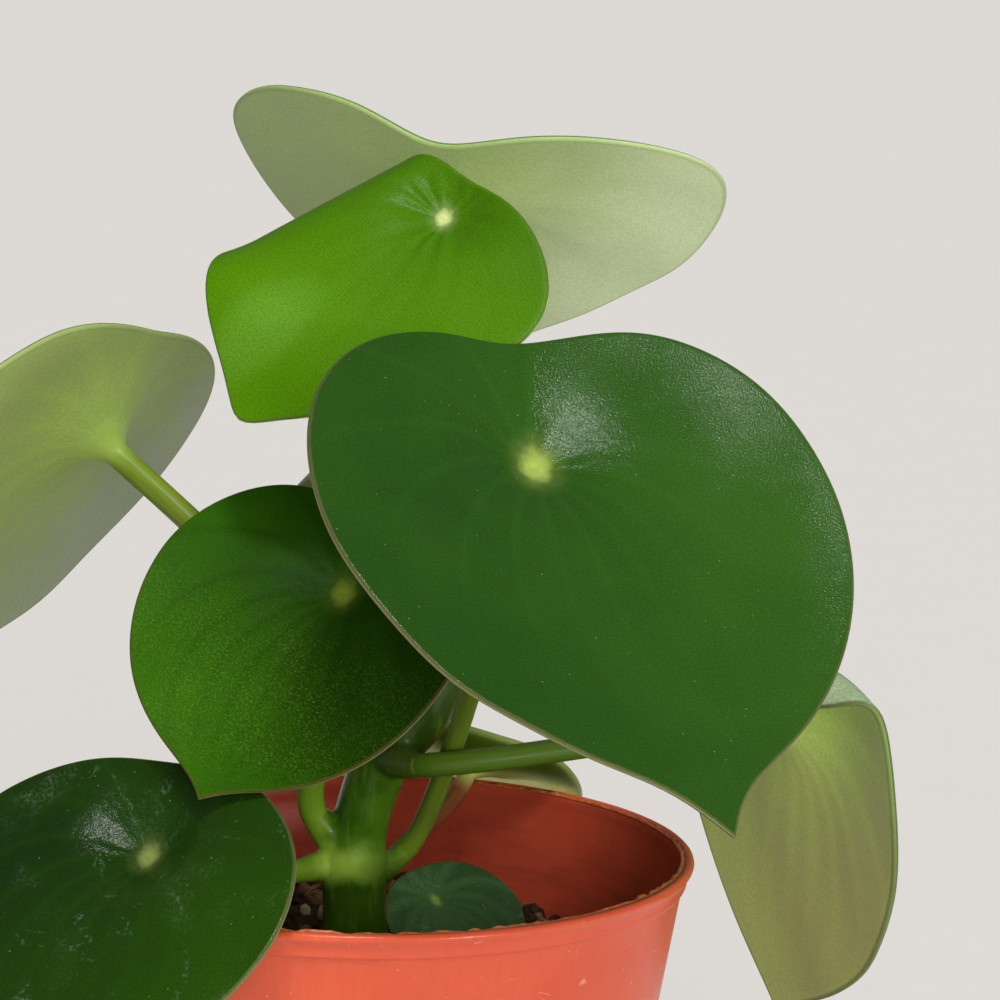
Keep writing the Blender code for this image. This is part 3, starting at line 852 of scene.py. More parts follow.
# %% [markdown]
# ## From rings to one mesh
#
# Every ring has the same number of points, so the faces between two rings follow one rule, and a
# fan of triangles closes either end. The faces after the margin's last ring get the second
# material, the one for the underside and the stalk.

# %% From rings to one mesh
def with_ends(rings):
    """The rows of all rings, with the middle of the first before them and of the last after."""
    return np.concatenate([rings[0].mean(0)[None], *rings, rings[-1].mean(0)[None]])


def skin_object(name, rings, above, attributes):
    """Faces between neighbouring rings, with a point at either end, as a smooth object."""
    sectors = len(rings[0])
    first = np.arange(sectors)
    second = (first + 1) % sectors
    starts = 1 + np.arange(len(rings) - 1)[:, None] * sectors
    near = starts + first
    following = starts + second
    quads = np.stack([near, following, following + sectors, near + sectors], -1).reshape(-1, 4)
    low = [(0, 1 + b, 1 + a) for a, b in zip(first, second)]
    base = 1 + (len(rings) - 1) * sectors
    high = [(base + sectors, base + a, base + b) for a, b in zip(first, second)]
    mesh = bpy.data.meshes.new(name)
    mesh.from_pydata((with_ends(rings) * MM).tolist(), [], low + quads.tolist() + high)
    on_top = len(low) + (above - 1) * sectors
    below = len(low) + len(quads) + len(high) - on_top
    mesh.polygons.foreach_set("material_index", [0] * on_top + [1] * below)
    for label, kind, values in attributes:
        values = with_ends(values)
        layer = mesh.attributes.new(label, kind, "POINT")
        field = "vector" if kind == "FLOAT_VECTOR" else "value"
        layer.data.foreach_set(field, values.astype(np.float32).ravel())
    mesh.shade_smooth()
    return placed(name, mesh)


print("skin ready")

# %% [markdown]
# ## What a leaf looks like
#
# The leaves share one make-up but not one colour: old ones are deep green and glossy, young ones
# bright, and each has its own marks of water and wear. So each leaf has a row of colours and of
# amounts, and the finishes further down are the same for all.

# %% The colours of a leaf
@dataclass(frozen=True)
class Look:
    """Colours of one leaf and how much of each mark it carries."""

    deep: tuple
    bright: tuple
    under: tuple
    # glow: the painted glow of light through the blade round the stalk; the veins below take the
    # same colour
    glow: tuple  # underside round the stalk and along its veins
    stalk: tuple
    under_side: tuple = ()  # underside towards +x, where it differs
    navel: tuple = (128, 142, 66)
    navel_size: float = 3.0
    navel_turn: float = 0.0  # direction of its long axis, 0 towards the tip
    # partly painted light and shade: darker on the side that neighbouring leaves shade, lighter
    # where light falls
    brighter: float = 0.0  # direction in which the upper face gets brighter, 0 at the tip
    vein_tone: float = 1.25  # how much brighter than the face a vein is
    vein_share: float = 0.1  # how clearly the veins show above
    under_veins: float = 0.3  # and below
    flecks: float = 0.0
    dust: float = 0.3
    minerals: float = 0.0
    gloss: float = 0.26  # roughness of the upper face
    shine: float = 0.3  # strength of its reflection
    edge: float = 0.5  # how clearly the thin line of the margin shows
    edge_tone: tuple = (103, 92, 64)
    # painted shadow: the underside behind the stalk, painted darker where another leaf shades it
    painted_shadow_behind: tuple = ()  # underside behind the stalk, where it differs
    # partly painted light: on the top back leaf, the changed side stands in for light through the
    # blade
    paler: float = 73.0  # direction in which the underside changes, 0 at the tip
    pebble: float = 0.06  # height of the fine pebbling of the upper face
    foot: tuple = (114, 148, 34)  # the stalk where it leaves the stem
    # painted sheen: a paler place that stands in for a soft highlight or sheen
    painted_sheen: tuple = ()  # a paler place on the upper face: x, y, half width, half length, colour


print("a look has", len(Look.__dataclass_fields__), "values")

# %% [markdown]
# ## Ten looks
#
# The undersides are much paler than the upper faces, and leaves that stand with their backs to the
# viewer show them. A colour here is that of the surface itself, which light, shade and gloss then
# change, so each was found by comparing the lit leaf with the picture.

# %% Ten looks
LOOKS = {
    "leaf_front_large": Look(
        deep=(27, 58, 13), bright=(40, 74, 18), under=(130, 142, 92),
        glow=(150, 170, 96), stalk=(96, 118, 34), dust=0.4, brighter=-90, edge=0.6,
        navel=(137, 154, 72), navel_turn=28, gloss=0.09, pebble=0.09, edge_tone=(92, 84, 54),
    ),
    "leaf_front_left": Look(
        deep=(18, 42, 5), bright=(41, 84, 3), under=(130, 142, 92),
        glow=(150, 170, 96), stalk=(104, 140, 34), flecks=0.75, dust=0.1, navel=(98, 112, 34),
        navel_size=2.2, brighter=60, vein_tone=0.5, vein_share=0.3, gloss=0.4, shine=0.05,
        edge=0.6, edge_tone=(84, 68, 34), navel_turn=-35,
    ),
    "leaf_low_left": Look(
        deep=(18, 38, 9), bright=(31, 62, 5), under=(120, 132, 84),
        glow=(140, 160, 84), stalk=(112, 146, 40), minerals=0.7, dust=0.4, navel=(116, 126, 66),
        navel_size=1.9, navel_turn=-25, brighter=-75, shine=0.2, gloss=0.16, edge=0.55,
        edge_tone=(88, 88, 52),
    ),
    "leaf_folded": Look(
        deep=(56, 95, 7), bright=(68, 112, 3), under=(150, 170, 104),
        glow=(170, 190, 110), stalk=(126, 150, 56), dust=0.15, navel=(176, 188, 120),
        navel_size=1.5, navel_turn=-45, vein_tone=0.7, edge=0.15, gloss=0.3, shine=0.13,
        # a painted highlight near the tip
        painted_sheen=(7, 38, 6, 10, (84, 128, 34)), foot=(76, 104, 34),
    ),
    # Painted light: its underside is painted paler towards one side for the light that comes
    # through the blade from above.
    "leaf_top_back": Look(
        deep=(50, 92, 20), bright=(64, 108, 26), under=(156, 176, 114), under_side=(200, 214, 168),
        glow=(158, 184, 104), stalk=(138, 158, 62), edge=0.5, edge_tone=(112, 132, 76),
        under_veins=0.2, paler=48, foot=(76, 104, 34),
    ),
    "leaf_left_back": Look(
        deep=(34, 70, 18), bright=(44, 82, 22), under=(144, 162, 90), under_side=(156, 168, 138),
        glow=(150, 178, 84), stalk=(100, 118, 32), edge=0.6, edge_tone=(112, 126, 76),
        under_veins=0.5, foot=(76, 104, 34),
    ),
    "leaf_right_hanging": Look(
        deep=(66, 98, 42), bright=(80, 110, 54), under=(175, 204, 118),
        under_side=(168, 194, 118), glow=(212, 248, 124), stalk=(78, 106, 28), edge=0.8,
        edge_tone=(72, 86, 40), under_veins=0.25, foot=(70, 98, 26),
        # a painted sheen on the folded-over flap
        painted_sheen=(0, -28, 42, 12, (188, 202, 170)),
    ),
    # Painted light and shadow: the underside is painted very pale for light that comes through the
    # blade, and its part behind the stalk darker for the shadow of the large front leaf.
    "leaf_low_back": Look(
        deep=(50, 86, 24), bright=(66, 104, 30), under=(228, 252, 138), under_side=(232, 250, 148),
        glow=(196, 224, 112), stalk=(110, 62, 38), edge=0.8, edge_tone=(120, 136, 70),
        painted_shadow_behind=(72, 98, 16),
    ),
    "leaf_small_front": Look(
        deep=(39, 62, 31), bright=(47, 73, 38), under=(120, 132, 84),
        glow=(140, 150, 84), stalk=(120, 140, 60), minerals=1.0, navel=(110, 130, 54),
        navel_size=1.0, edge=0.2, vein_tone=1.4, vein_share=0.3,
    ),
    "leaf_young": Look(
        deep=(112, 112, 46), bright=(130, 128, 54), under=(160, 150, 78),
        glow=(170, 160, 86), stalk=(132, 146, 60), navel_size=1.0,
    ),
}
print(len(LOOKS), "looks")

# %% [markdown]
# ## Veins, flecks and mineral marks
#
# Marks that many leaves share are made once, each as a function that lays one more colour over
# what it is given. The veins use the same circles as the relief, so colour and groove agree. The
# flecks are random cells, crowded towards the tip. Hard water leaves wisps, which are the thin
# lines where a noise passes its middle value, and a thin film.

# %% Veins, flecks and mineral marks
FLECK_COLOUR = (74, 104, 26)
CHALK_COLOUR = (122, 138, 120)


def shaded(colour, factor):
    """A colour made lighter or darker as the eye sees it."""
    return tuple(min(255, value * factor) for value in colour)


def vein_amount(finish, leaf, x, y, width):
    """1 on a vein and 0 between veins, by the same circles as the relief."""
    ahead = leaf.reach - y
    turn = x.turn_from(y) + x.turn_from(ahead)
    off = turn.math("WRAP", VEIN_TURN / 2, -VEIN_TURN / 2).math("ABSOLUTE")
    near = length(x, y)
    distance = off * near * length(x, ahead) / leaf.reach
    fade = finish.ramp(near, 2.0, VEIN_FADE * 1.3, 1.0, 0.15)
    return finish.ramp(distance, 0.0, width, 1.0, 0.0) * fade


def flecked(finish, colour, leaf, place, y, amount):
    """Fine yellow-green flecks, crowded towards the tip."""
    spot, luck = finish.cells(place, 0.55)
    dots = finish.ramp(spot, 0.5, 0.2) * finish.ramp(luck, 0.35, 0.75)
    haze = finish.ramp(finish.noise(place, 0.42), 0.5, 0.66)
    crowd = finish.ramp(finish.noise(place, 9, detail=4), 0.3, 0.62, 0.4, 1.0)
    ahead = finish.ramp(y, leaf.reach * 0.02, leaf.reach * 0.4)
    behind = finish.ramp(y, leaf.reach, leaf.reach * 0.7)
    share = (dots * 0.7 + haze * 0.6) * crowd * ahead * behind * amount
    return finish.mix(share, colour, FLECK_COLOUR)


def chalked(finish, colour, place, amount):
    """Wisps and a thin film of dried minerals that watering leaves behind."""
    swirl = finish.noise(place, 26, detail=3, distortion=1.0)
    line = finish.ramp((swirl - 0.5).math("ABSOLUTE"), 0.016, 0.0)
    broken = finish.ramp(finish.noise(place, 6, detail=4, roughness=0.7), 0.48, 0.66)
    film = finish.ramp(finish.noise(place, 16, detail=6, roughness=0.7), 0.52, 0.75)
    grain = finish.ramp(finish.noise(place, 0.7, detail=2), 0.4, 0.65)
    dotted = finish.ramp(finish.noise(place, 0.9, detail=3), 0.42, 0.6)
    chalk = (line * broken * dotted * 0.5 + film * grain * 0.24) * amount
    return finish.mix(chalk, colour, CHALK_COLOUR)


print("flecks:", [name for name, look in LOOKS.items() if look.flecks])
print("mineral marks:", [name for name, look in LOOKS.items() if look.minerals])

# %% [markdown]
# ## The navel and the painted sheen
#
# The navel is where the stalk's flesh shows through the blade. It is a little longer than wide and
# has a feathered edge, so its distance is made ragged by noise before it turns into colour. Two
# leaves also have a painted sheen: a larger paler place with a soft edge, which stands in for a
# highlight near the folded leaf's tip and for the sheen on the hanging leaf's flap.

# %% The navel and the painted sheen
def with_navel(finish, colour, look, place, x, y):
    """The pale navel, longer than wide, with a feathered edge."""
    size = look.navel_size
    turn = math.radians(look.navel_turn)
    along = x * math.sin(turn) + y * math.cos(turn)
    across = x * math.cos(turn) - y * math.sin(turn)
    near = (across * across * 1.5 + along * along * 0.75).math("SQRT")
    ragged = near + (finish.noise(place, size, detail=3) - 0.5) * (size * 1.1)
    halo = finish.ramp(ragged, size * 2.6, size * 0.6)
    core = finish.ramp(ragged, size * 1.5, size * 0.35)
    colour = finish.mix(halo * 0.4, colour, shaded(look.navel, 0.75))
    uneven = finish.noise(place, size * 0.7, detail=2)
    pale = finish.mix(uneven, shaded(look.navel, 0.86), shaded(look.navel, 1.12))
    return finish.mix(core * 0.95, colour, pale)


def with_painted_sheen(finish, colour, painted_sheen, place, x, y):
    """A painted sheen: a paler place with a soft uneven edge that stands in for a highlight."""
    across, ahead, half_width, half_length, pale = painted_sheen
    sideways = ((x - across) / half_width).math("POWER", 2.0)
    off = sideways + ((y - ahead) / half_length).math("POWER", 2.0)
    uneven = (finish.noise(place, 7, detail=3) - 0.5) * 1.2
    sparkle = finish.ramp(finish.noise(place, 0.6, detail=3), 0.3, 0.7, 0.6, 1.0)
    return finish.mix(finish.ramp(off + uneven, 2.4, -0.4) * sparkle * 0.8, colour, pale)


print("paler places:", [name for name, look in LOOKS.items() if look.painted_sheen])

# %% [markdown]
# ## The upper face
#
# Glossy and faintly pebbled, since its outer cells are small lenses. The colour comes in layers
# from broad to fine: a lean from a darker to a brighter side, which is partly painted shade and
# light, slow patches, the veins, a painted sheen where a leaf has one, a mottle of cells, flecks or
# mineral marks where a leaf has them, dust, the navel and the thin brown line of the margin. The
# relief in the shading is only fine pebbling and a faint ripple round the navel; veins and creases
# are real geometry already.

# %% The upper face
DUST_COLOUR = (142, 158, 122)
DUST_LAYERS = ((2.8, 0.76), (1.5, 0.88))  # spacing of the specks, share of places without one
PEBBLE_SIZE = 0.38


def upper_finish(leaf, look):
    finish = Finish(leaf.name + "_upper", IOR=1.45, Specular_IOR_Level=look.shine)
    place = finish.attribute("flat", "Vector")
    rim = finish.attribute("rim")
    x, y, _ = finish.parts(place)

    # the lean partly paints the shade and light that fall on the leaf
    lean = finish.ramp(toward(x, y, look.brighter), -leaf.back, leaf.half_width)
    patches = finish.ramp(finish.noise(place, 30, detail=3), 0.35, 0.65)
    colour = finish.mix(lean * 0.7 + patches * 0.3, look.deep, look.bright)
    veins = vein_amount(finish, leaf, x, y, 1.6)
    colour = finish.mix(veins * look.vein_share, colour, shaded(look.bright, look.vein_tone))
    # painted sheen where a leaf has one
    if look.painted_sheen:
        colour = with_painted_sheen(finish, colour, look.painted_sheen, place, x, y)
    colour = finish.mottled(colour, place, PEBBLE_SIZE, 0.82, 1.2)
    if look.flecks:
        colour = flecked(finish, colour, leaf, place, y, look.flecks)
    if look.minerals:
        colour = chalked(finish, colour, place, look.minerals)
    for spacing, bare in DUST_LAYERS:
        speck, luck = finish.cells(place, spacing)
        dust = finish.ramp(speck, 0.2 / spacing, 0.08 / spacing) * finish.ramp(luck, bare, 1.0)
        colour = finish.mix(dust * look.dust, colour, DUST_COLOUR)
    colour = with_navel(finish, colour, look, place, x, y)
    brown = finish.ramp(rim + (finish.noise(place, 3) - 0.5) * 0.3, 0.55, 0.15)
    colour = finish.mix(brown * look.edge, colour, look.edge_tone)
    finish.colour(colour)

    wear = finish.noise(place, 9, detail=4)
    finish.roughness(finish.ramp(wear, 0.3, 0.7, look.gloss - 0.04, look.gloss + 0.06))
    pebble = finish.noise(place, PEBBLE_SIZE, detail=2, roughness=0.6)
    ripple = finish.noise(place, 1.7, detail=4, roughness=0.6)
    pulled = finish.ramp(length(x, y), 24.0, 5.0, 0.03, 0.2)
    finish.bump(pebble * look.pebble + ripple * pulled)
    return finish.material


print("upper faces carry dust in", len(DUST_LAYERS), "sizes")

# %% [markdown]
# ## The underside and the stalk
#
# The underside is pale, matte and slightly see-through, with the veins as soft yellow-green
# streaks that fade away from the stalk. Some light comes through a real blade and glows round the
# stalk; here that glow is painted, since light inside thin flesh is slow and noisy to render. The
# stalk is fleshy and clear green. One material carries both and changes from one to the other
# along the way that each point remembers.

# %% The underside and the stalk
UNDERSIDE_ROUGHNESS = 0.5
STALK_ROUGHNESS = 0.36


def under_finish(leaf, look, stalk_length):
    finish = Finish(leaf.name + "_under", IOR=1.4, Specular_IOR_Level=0.3)
    place = finish.attribute("flat", "Vector")
    rim = finish.attribute("rim")
    body = finish.place()
    x, y, along = finish.parts(place)

    patches = finish.ramp(finish.noise(body, 26, detail=3), 0.35, 0.65)
    # the changed side is partly painted light through the blade, on the top back leaf
    way = toward(x, y, look.paler)
    side = finish.ramp(way + patches * 8.0, -5.0, leaf.half_width)
    colour = finish.mix(side, look.under, look.under_side or look.under)
    glow = finish.ramp(length(x, y), 34.0, 2.0)
    colour = finish.mix(glow * 0.5, colour, look.glow)
    veins = vein_amount(finish, leaf, x, y, 3.4)
    colour = finish.mix(veins * look.under_veins, colour, look.glow)
    # painted shadow that another leaf casts on the part behind the stalk
    if look.painted_shadow_behind:
        colour = finish.mix(finish.ramp(y + patches * 4.0, 9.0, -1.0), colour, look.painted_shadow_behind)
    colour = finish.mottled(colour, body, 0.5, 0.9, 1.1)
    # the thin margin takes a little of the painted glow too
    edge = finish.ramp(rim, 2.6, 0.4)
    colour = finish.mix(edge * 0.1, colour, look.glow)
    brown = finish.ramp(rim, 1.1, 0.2)
    colour = finish.mix(brown * look.edge, colour, look.edge_tone)

    streak = finish.noise(finish.stretched(place, (1.0, 1.0, 0.12)), 1.4, detail=2)
    streaked = finish.ramp(streak, 0.3, 0.7)
    stalk = finish.mix(streaked, shaded(look.stalk, 0.95), shaded(look.stalk, 1.05))
    # the stalk near the blade is paler in the glow colour: partly its own paler flare, partly
    # painted glow
    stalk = finish.mix(finish.ramp(along, 12.0, 0.5) * 0.6, stalk, shaded(look.glow, 1.1))
    foot = finish.ramp(along, stalk_length - 16.0, stalk_length - 3.0)
    stalk = finish.mix(foot, stalk, look.foot)
    on_stalk = finish.ramp(along, 0.0, 1.6)
    finish.colour(finish.mix(on_stalk, colour, stalk))
    finish.roughness(finish.ramp(on_stalk, 0.0, 1.0, UNDERSIDE_ROUGHNESS, STALK_ROUGHNESS))
    grain = finish.noise(body, 0.5, detail=2)
    finish.bump(grain * 0.03 + finish.noise(body, 3.0) * 0.06)
    return finish.material


print("roughness below", UNDERSIDE_ROUGHNESS, "and on the stalk", STALK_ROUGHNESS)

# %% [markdown]
# ## Make the leaves
#
# Each leaf takes the place of its plain solid: it rides on the same body and replaces that node,
# so the plant can be moved or exported like its frame.

# %% Make the leaves
def make_leaf(leaf):
    look = LOOKS[leaf.name]
    rings, places, margins, above = leaf_rings(leaf)
    measures = (("flat", "FLOAT_VECTOR", places), ("rim", "FLOAT", margins))
    piece = skin_object(leaf.name + "_grown", rings, above, measures)
    piece.data.materials.append(upper_finish(leaf, look))
    piece.data.materials.append(under_finish(leaf, look, places[-1][0][2]))
    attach(piece, "root")
    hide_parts(leaf.name)
    print(piece.name, len(piece.data.polygons), "faces")


for leaf in LEAVES:
    make_leaf(leaf)

# %% [markdown]
# ## Tubes
#
# Stem and sockets are tubes round a curved line. A Catmull-Rom curve passes through every point
# that is given, which suits a stem that was measured joint by joint. A side direction is handed on
# from ring to ring, so that the tube doesn't twist.

# %% Tubes
def smooth_line(points, steps):
    """Points at equal parameters along the Catmull-Rom curve through rows of numbers."""
    rows = np.array(points, float)
    rows = np.vstack([2 * rows[0] - rows[1], rows, 2 * rows[-1] - rows[-2]])
    found = []
    for where in np.linspace(0, len(rows) - 3, steps + 1):
        index = min(int(where), len(rows) - 4)
        t = where - index
        a, b, c, d = rows[index:index + 4]
        curve = 2 * b + (c - a) * t + (2 * a - 5 * b + 4 * c - d) * t**2
        found.append(0.5 * (curve + (3 * b - a - 3 * c + d) * t**3))
    return np.array(found)


def bridge(bm, rings):
    """Add the faces between neighbouring rings of points; a ring may be a single point."""
    for low, high in zip(rings, rings[1:]):
        sides = max(len(low), len(high))
        for index in range(sides):
            after = (index + 1) % sides
            corners = (
                low[index % len(low)], low[after % len(low)],
                high[after % len(high)], high[index % len(high)],
            )
            bm.faces.new(tuple(dict.fromkeys(corners)))


def add_tube(bm, line, radii, sides):
    """Add a closed tube along a line of points."""
    line = [Vector(point) for point in line]
    side = (line[1] - line[0]).orthogonal().normalized()
    rings = []
    for index, point in enumerate(line):
        before = line[max(index - 1, 0)]
        after = line[min(index + 1, len(line) - 1)]
        along = (after - before).normalized()
        side = (side - along * side.dot(along)).normalized()
        across = along.cross(side)
        turns = [2 * math.pi * step / sides for step in range(sides)]
        spokes = [side * math.cos(turn) + across * math.sin(turn) for turn in turns]
        rings.append([bm.verts.new((point + spoke * radii[index]) * MM) for spoke in spokes])
    bridge(bm, rings)
    bm.faces.new(rings[0][::-1])
    bm.faces.new(rings[-1])


def object_of(name, bm):
    """A smooth object with the mesh that was built."""
    mesh = bpy.data.meshes.new(name)
    bmesh.ops.recalc_face_normals(bm, faces=bm.faces)
    bm.to_mesh(mesh)
    bm.free()
    mesh.shade_smooth()
    return placed(name, mesh)


def apply_modifiers(piece):
    """Turn what the modifiers make into the object's own mesh."""
    graph = bpy.context.evaluated_depsgraph_get()
    mesh = bpy.data.meshes.new_from_object(piece.evaluated_get(graph))
    piece.modifiers.clear()
    piece.data = mesh
    mesh.shade_smooth()


print("tube helpers ready")

# %% [markdown]
# ## The stem's flesh
#
# The stem is darker than the stalks and wet-looking, with a pale band at its lowest joint, near
# which four stalks leave it. That band is partly painted light: it is paler towards -X, where light
# falls on the joint. The sockets have the clearer green of the stalks. Fine streaks run upward, so
# their noise is stretched along the height.

# %% The stem's flesh
JOINT_HEIGHT = 93.0
STEM_TINTS = ((48, 84, 10), (64, 100, 16))
STEM_FOOT_TINT = (60, 90, 16)
STEM_TOP_TINT = (44, 66, 12)
# the joint's own paler green, partly painted light
JOINT_PALE_AND_LIT_TINT = (158, 194, 68)
SOCKET_TINTS = ((114, 148, 34), (70, 98, 26))  # low and high on the stem
STREAK_TINT = (108, 138, 44)


def stem_finish():
    finish = Finish("stem_flesh", IOR=1.45, Specular_IOR_Level=0.4)
    place = finish.place()
    x, _, height = finish.parts(place)
    long = finish.noise(finish.stretched(place, (1.0, 1.0, 0.15)), 1.4, detail=4)
    patches = finish.noise(place, 6, detail=3)
    colour = finish.mix(finish.ramp(patches, 0.35, 0.65), *STEM_TINTS)
    low = finish.ramp(height, 92.0, 82.0)
    colour = finish.mix(low * 0.6, colour, STEM_FOOT_TINT)
    high = finish.ramp(height, 106.0, 114.0)
    colour = finish.mix(high * 0.6, colour, STEM_TOP_TINT)
    uneven = (patches - 0.5) * 6.0
    joint = finish.ramp((height - JOINT_HEIGHT + uneven).math("ABSOLUTE"), 5.5, 0.5)
    # painted light: the joint is paler on the side where light falls
    outer = finish.ramp(x + uneven, 5.5, -3.5, 0.25, 0.95)
    colour = finish.mix(joint * outer, colour, JOINT_PALE_AND_LIT_TINT)
    out = finish.attribute("out")
    risen = finish.ramp(height, 98.0, 106.0)
    socket = finish.mix(risen, *SOCKET_TINTS)
    colour = finish.mix(finish.ramp(out, 0.6, 3.5), colour, socket)
    colour = finish.mix(finish.ramp(long, 0.5, 0.72) * 0.3, colour, STREAK_TINT)
    finish.colour(colour)
    dull = finish.ramp(out, 0.6, 3.0, 0.0, 0.18) + finish.ramp(height, 102.0, 114.0, 0.0, 0.18)
    finish.roughness(finish.ramp(patches, 0.3, 0.7, 0.14, 0.22) + dull)
    finish.bump(long * 0.05 + finish.noise(place, 0.7) * 0.03)
    return finish.material


print("the bright joint is", JOINT_HEIGHT, "mm above the table")

# %% [markdown]
# ## The main stem
#
# The stem is a row of short swollen joints, and each stalk leaves it from a socket. Where flesh
# meets flesh there is no sharp line, so tubes that merely overlap look wrong. The tubes are joined
# into one body, remeshed at a fraction of a millimetre and smoothed, which rounds every inner
# corner. How far each point lies outside the main tube is kept on it for the finish, which turns
# to the green of the stalks there.

# %% The main stem
STEM_LINE = (
    ((-0.5, 0.0, 60.3), 6.0),
    ((-0.8, 0.0, 76.0), 6.2),
    ((-1.2, 0.0, 86.0), 5.9),
    ((-1.4, 0.0, 92.0), 6.3),
    ((-0.9, 0.0, 97.0), 5.4),
    ((1.4, 0.1, 106.0), 5.2),
    ((4.6, 0.5, 113.5), 5.6),
    ((10.6, 1.7, 120.5), 5.4),
    ((14.0, 2.9, 130.0), 5.0),
    ((14.6, 3.6, 138.0), 3.4),
)
STEM_STEPS = 60
TUBE_SIDES = 40
SOCKET_REACH = 3.5  # how far the swelling of a socket runs on along the stalk
SOCKET_STEPS = 10
SOCKET_WIDTH = 1.45  # at its root, in widths of the stalk
SOCKET_TAPER = 0.6  # how much of that it loses on its way out
STEM_VOXEL = 0.4
STEM_SMOOTHING = 9


def make_main_stem():
    bm = bmesh.new()
    rows = smooth_line([(*point, radius) for point, radius in STEM_LINE], STEM_STEPS)
    add_tube(bm, rows[:, :3], rows[:, 3], TUBE_SIDES)
    for leaf in LEAVES:
        if leaf.sleeve:
            out = direction(*leaf.start)
            reach = leaf.sleeve + SOCKET_REACH
            steps = np.linspace(0, 1, SOCKET_STEPS)
            line = [Vector(leaf.root) + out * reach * step for step in steps]
            swelling = [SOCKET_WIDTH - SOCKET_TAPER * step**2 for step in steps]
            add_tube(bm, line, [leaf.thickness / 2 * share for share in swelling], TUBE_SIDES // 2)
    stem = object_of("main_stem_grown", bm)
    grow = stem.modifiers.new("one_body", "REMESH")
    grow.mode = "VOXEL"
    grow.voxel_size = STEM_VOXEL * MM
    soften = stem.modifiers.new("soft_corners", "SMOOTH")
    soften.factor = 0.5
    soften.iterations = STEM_SMOOTHING
    apply_modifiers(stem)
    corners = np.empty(len(stem.data.vertices) * 3)
    stem.data.vertices.foreach_get("co", corners)
    apart = np.linalg.norm(corners.reshape(-1, 1, 3) / MM - rows[None, :, :3], axis=2)
    out = (apart - rows[None, :, 3]).min(1)
    stem.data.attributes.new("out", "FLOAT", "POINT").data.foreach_set("value", out)
    stem.data.materials.append(stem_finish())
    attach(stem, "root")
    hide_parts("main_stem")
    return stem


stem = make_main_stem()
print("main stem", len(stem.data.polygons), "faces")

# %% [markdown]
# ## The pot's profile
#
# A nursery pot is moulded so thin that its lip tells most about it: a raised bead, a rolled edge
# and the ragged flash that the mould leaves inside it. All of these run round the pot, so one
# profile describes them: a row of points from the middle of the underside, up the outside, over
# the lip and down the inside.

# %% The pot's profile
RIM_RADIUS = 61.0
POT_HEIGHT = 95.0
BASE_RADIUS = 43.7
BASE_ROUNDING = 1.5
WALL = 1.0
FLOOR = 1.4
LIP_OVERHANG = 2.0
LIP_HEIGHT = 4.8
LIP_INSIDE = 93.0  # height where the wall's inside meets the lip
LIP_SHAPE = (
    # inward from the outermost edge, below the top, unevenness of the flash
    (1.4, 4.75, 0),
    (1.28, 4.45, 0),
    (1.3, 4.0, 0),
    (1.05, 3.1, 0),
    (0.6, 2.2, 0),
    (0.15, 1.7, 0),
    (0.0, 1.2, 0),
    (0.14, 0.7, 0),
    (0.5, 0.35, 0),
    (0.95, 0.28, 0),
    (1.35, 0.45, 0),
    (1.6, 0.7, 0),
    (1.78, 0.65, 0.3),
    (1.9, 0.3, 1),
    (2.15, 0.15, 1),
    (2.45, 0.25, 1),
    (2.6, 0.7, 0.4),
)


def wall_radius(height):
    """Outer radius of the pot's tapered wall at a height."""
    top = RIM_RADIUS - LIP_OVERHANG
    return BASE_RADIUS + (top - BASE_RADIUS) * height / (POT_HEIGHT - LIP_HEIGHT)


def pot_profile():
    """Points of (radius, height, unevenness) from the middle of the underside to the inside."""
    lip_foot = POT_HEIGHT - LIP_HEIGHT
    corner = BASE_RADIUS - BASE_ROUNDING
    points = [(0.0, 0.0, 0), (36.0, 0.0, 0), (corner, 0.0, 0)]
    for degrees in (30, 60, 90):
        turn = math.radians(degrees)
        radius = corner + BASE_ROUNDING * math.sin(turn)
        points.append((radius, BASE_ROUNDING - BASE_ROUNDING * math.cos(turn), 0))
    for height in np.linspace(6, lip_foot - 1.2, 16):
        points.append((wall_radius(height), height, 0))
    points += [
        (wall_radius(lip_foot) + 0.05, lip_foot - 0.5, 0),
        (wall_radius(lip_foot) + 0.3, lip_foot - 0.15, 0),
    ]
    for inward, below, uneven in LIP_SHAPE:
        points.append((RIM_RADIUS - inward, POT_HEIGHT - below, uneven))
    points.append((wall_radius(LIP_INSIDE) - WALL, LIP_INSIDE, 0))
    for height in np.linspace(88, 6, 12):
        points.append((wall_radius(height) - WALL, height, 0))
    corner = wall_radius(FLOOR) - WALL - 1.0
    return points + [(corner, FLOOR + 0.3, 0), (40.0, FLOOR, 0), (0.0, FLOOR, 0)]


print("pot profile of", len(pot_profile()), "points")

# %% [markdown]
# ## The pot's plastic
#
# The plastic is dyed through and satin. Over that lie the marks of the mould, upright, and of use:
# chalk specks and fine scratches outside, level rings and dirt from the soil inside, a browned
# flash and a darker groove beside it. The inside is also painted darker, as the shade within the
# pot. The height and the distance from the axis tell which part of the pot a point belongs to.

# %% The pot's plastic
GROOVE_INWARD = 1.62  # the darker groove between the bead and the flash, from the outermost edge
PLASTIC_TINTS = ((194, 74, 46), (202, 82, 52))
DRAW_LINE_TINT = (172, 60, 38)  # upright marks from the mould
RUBBED_TINT = (196, 104, 80)
# painted shade of the pot's inside
INSIDE_SHADE_TINT = (158, 56, 40)
DIRT_TINT = (92, 46, 32)
WATER_RING_TINT = (120, 46, 32)
FLASH_TINTS = ((150, 78, 38), (188, 108, 58))
GROOVE_TINT = (86, 44, 30)
CHALK_TINT = (226, 176, 156)
CHALK_LAYERS = ((3.4, 0.76), (1.4, 0.84))  # spacing of the specks, share of places without one
SCRATCH_TINT = (224, 164, 140)
SCUFF_TINT = (206, 132, 106)


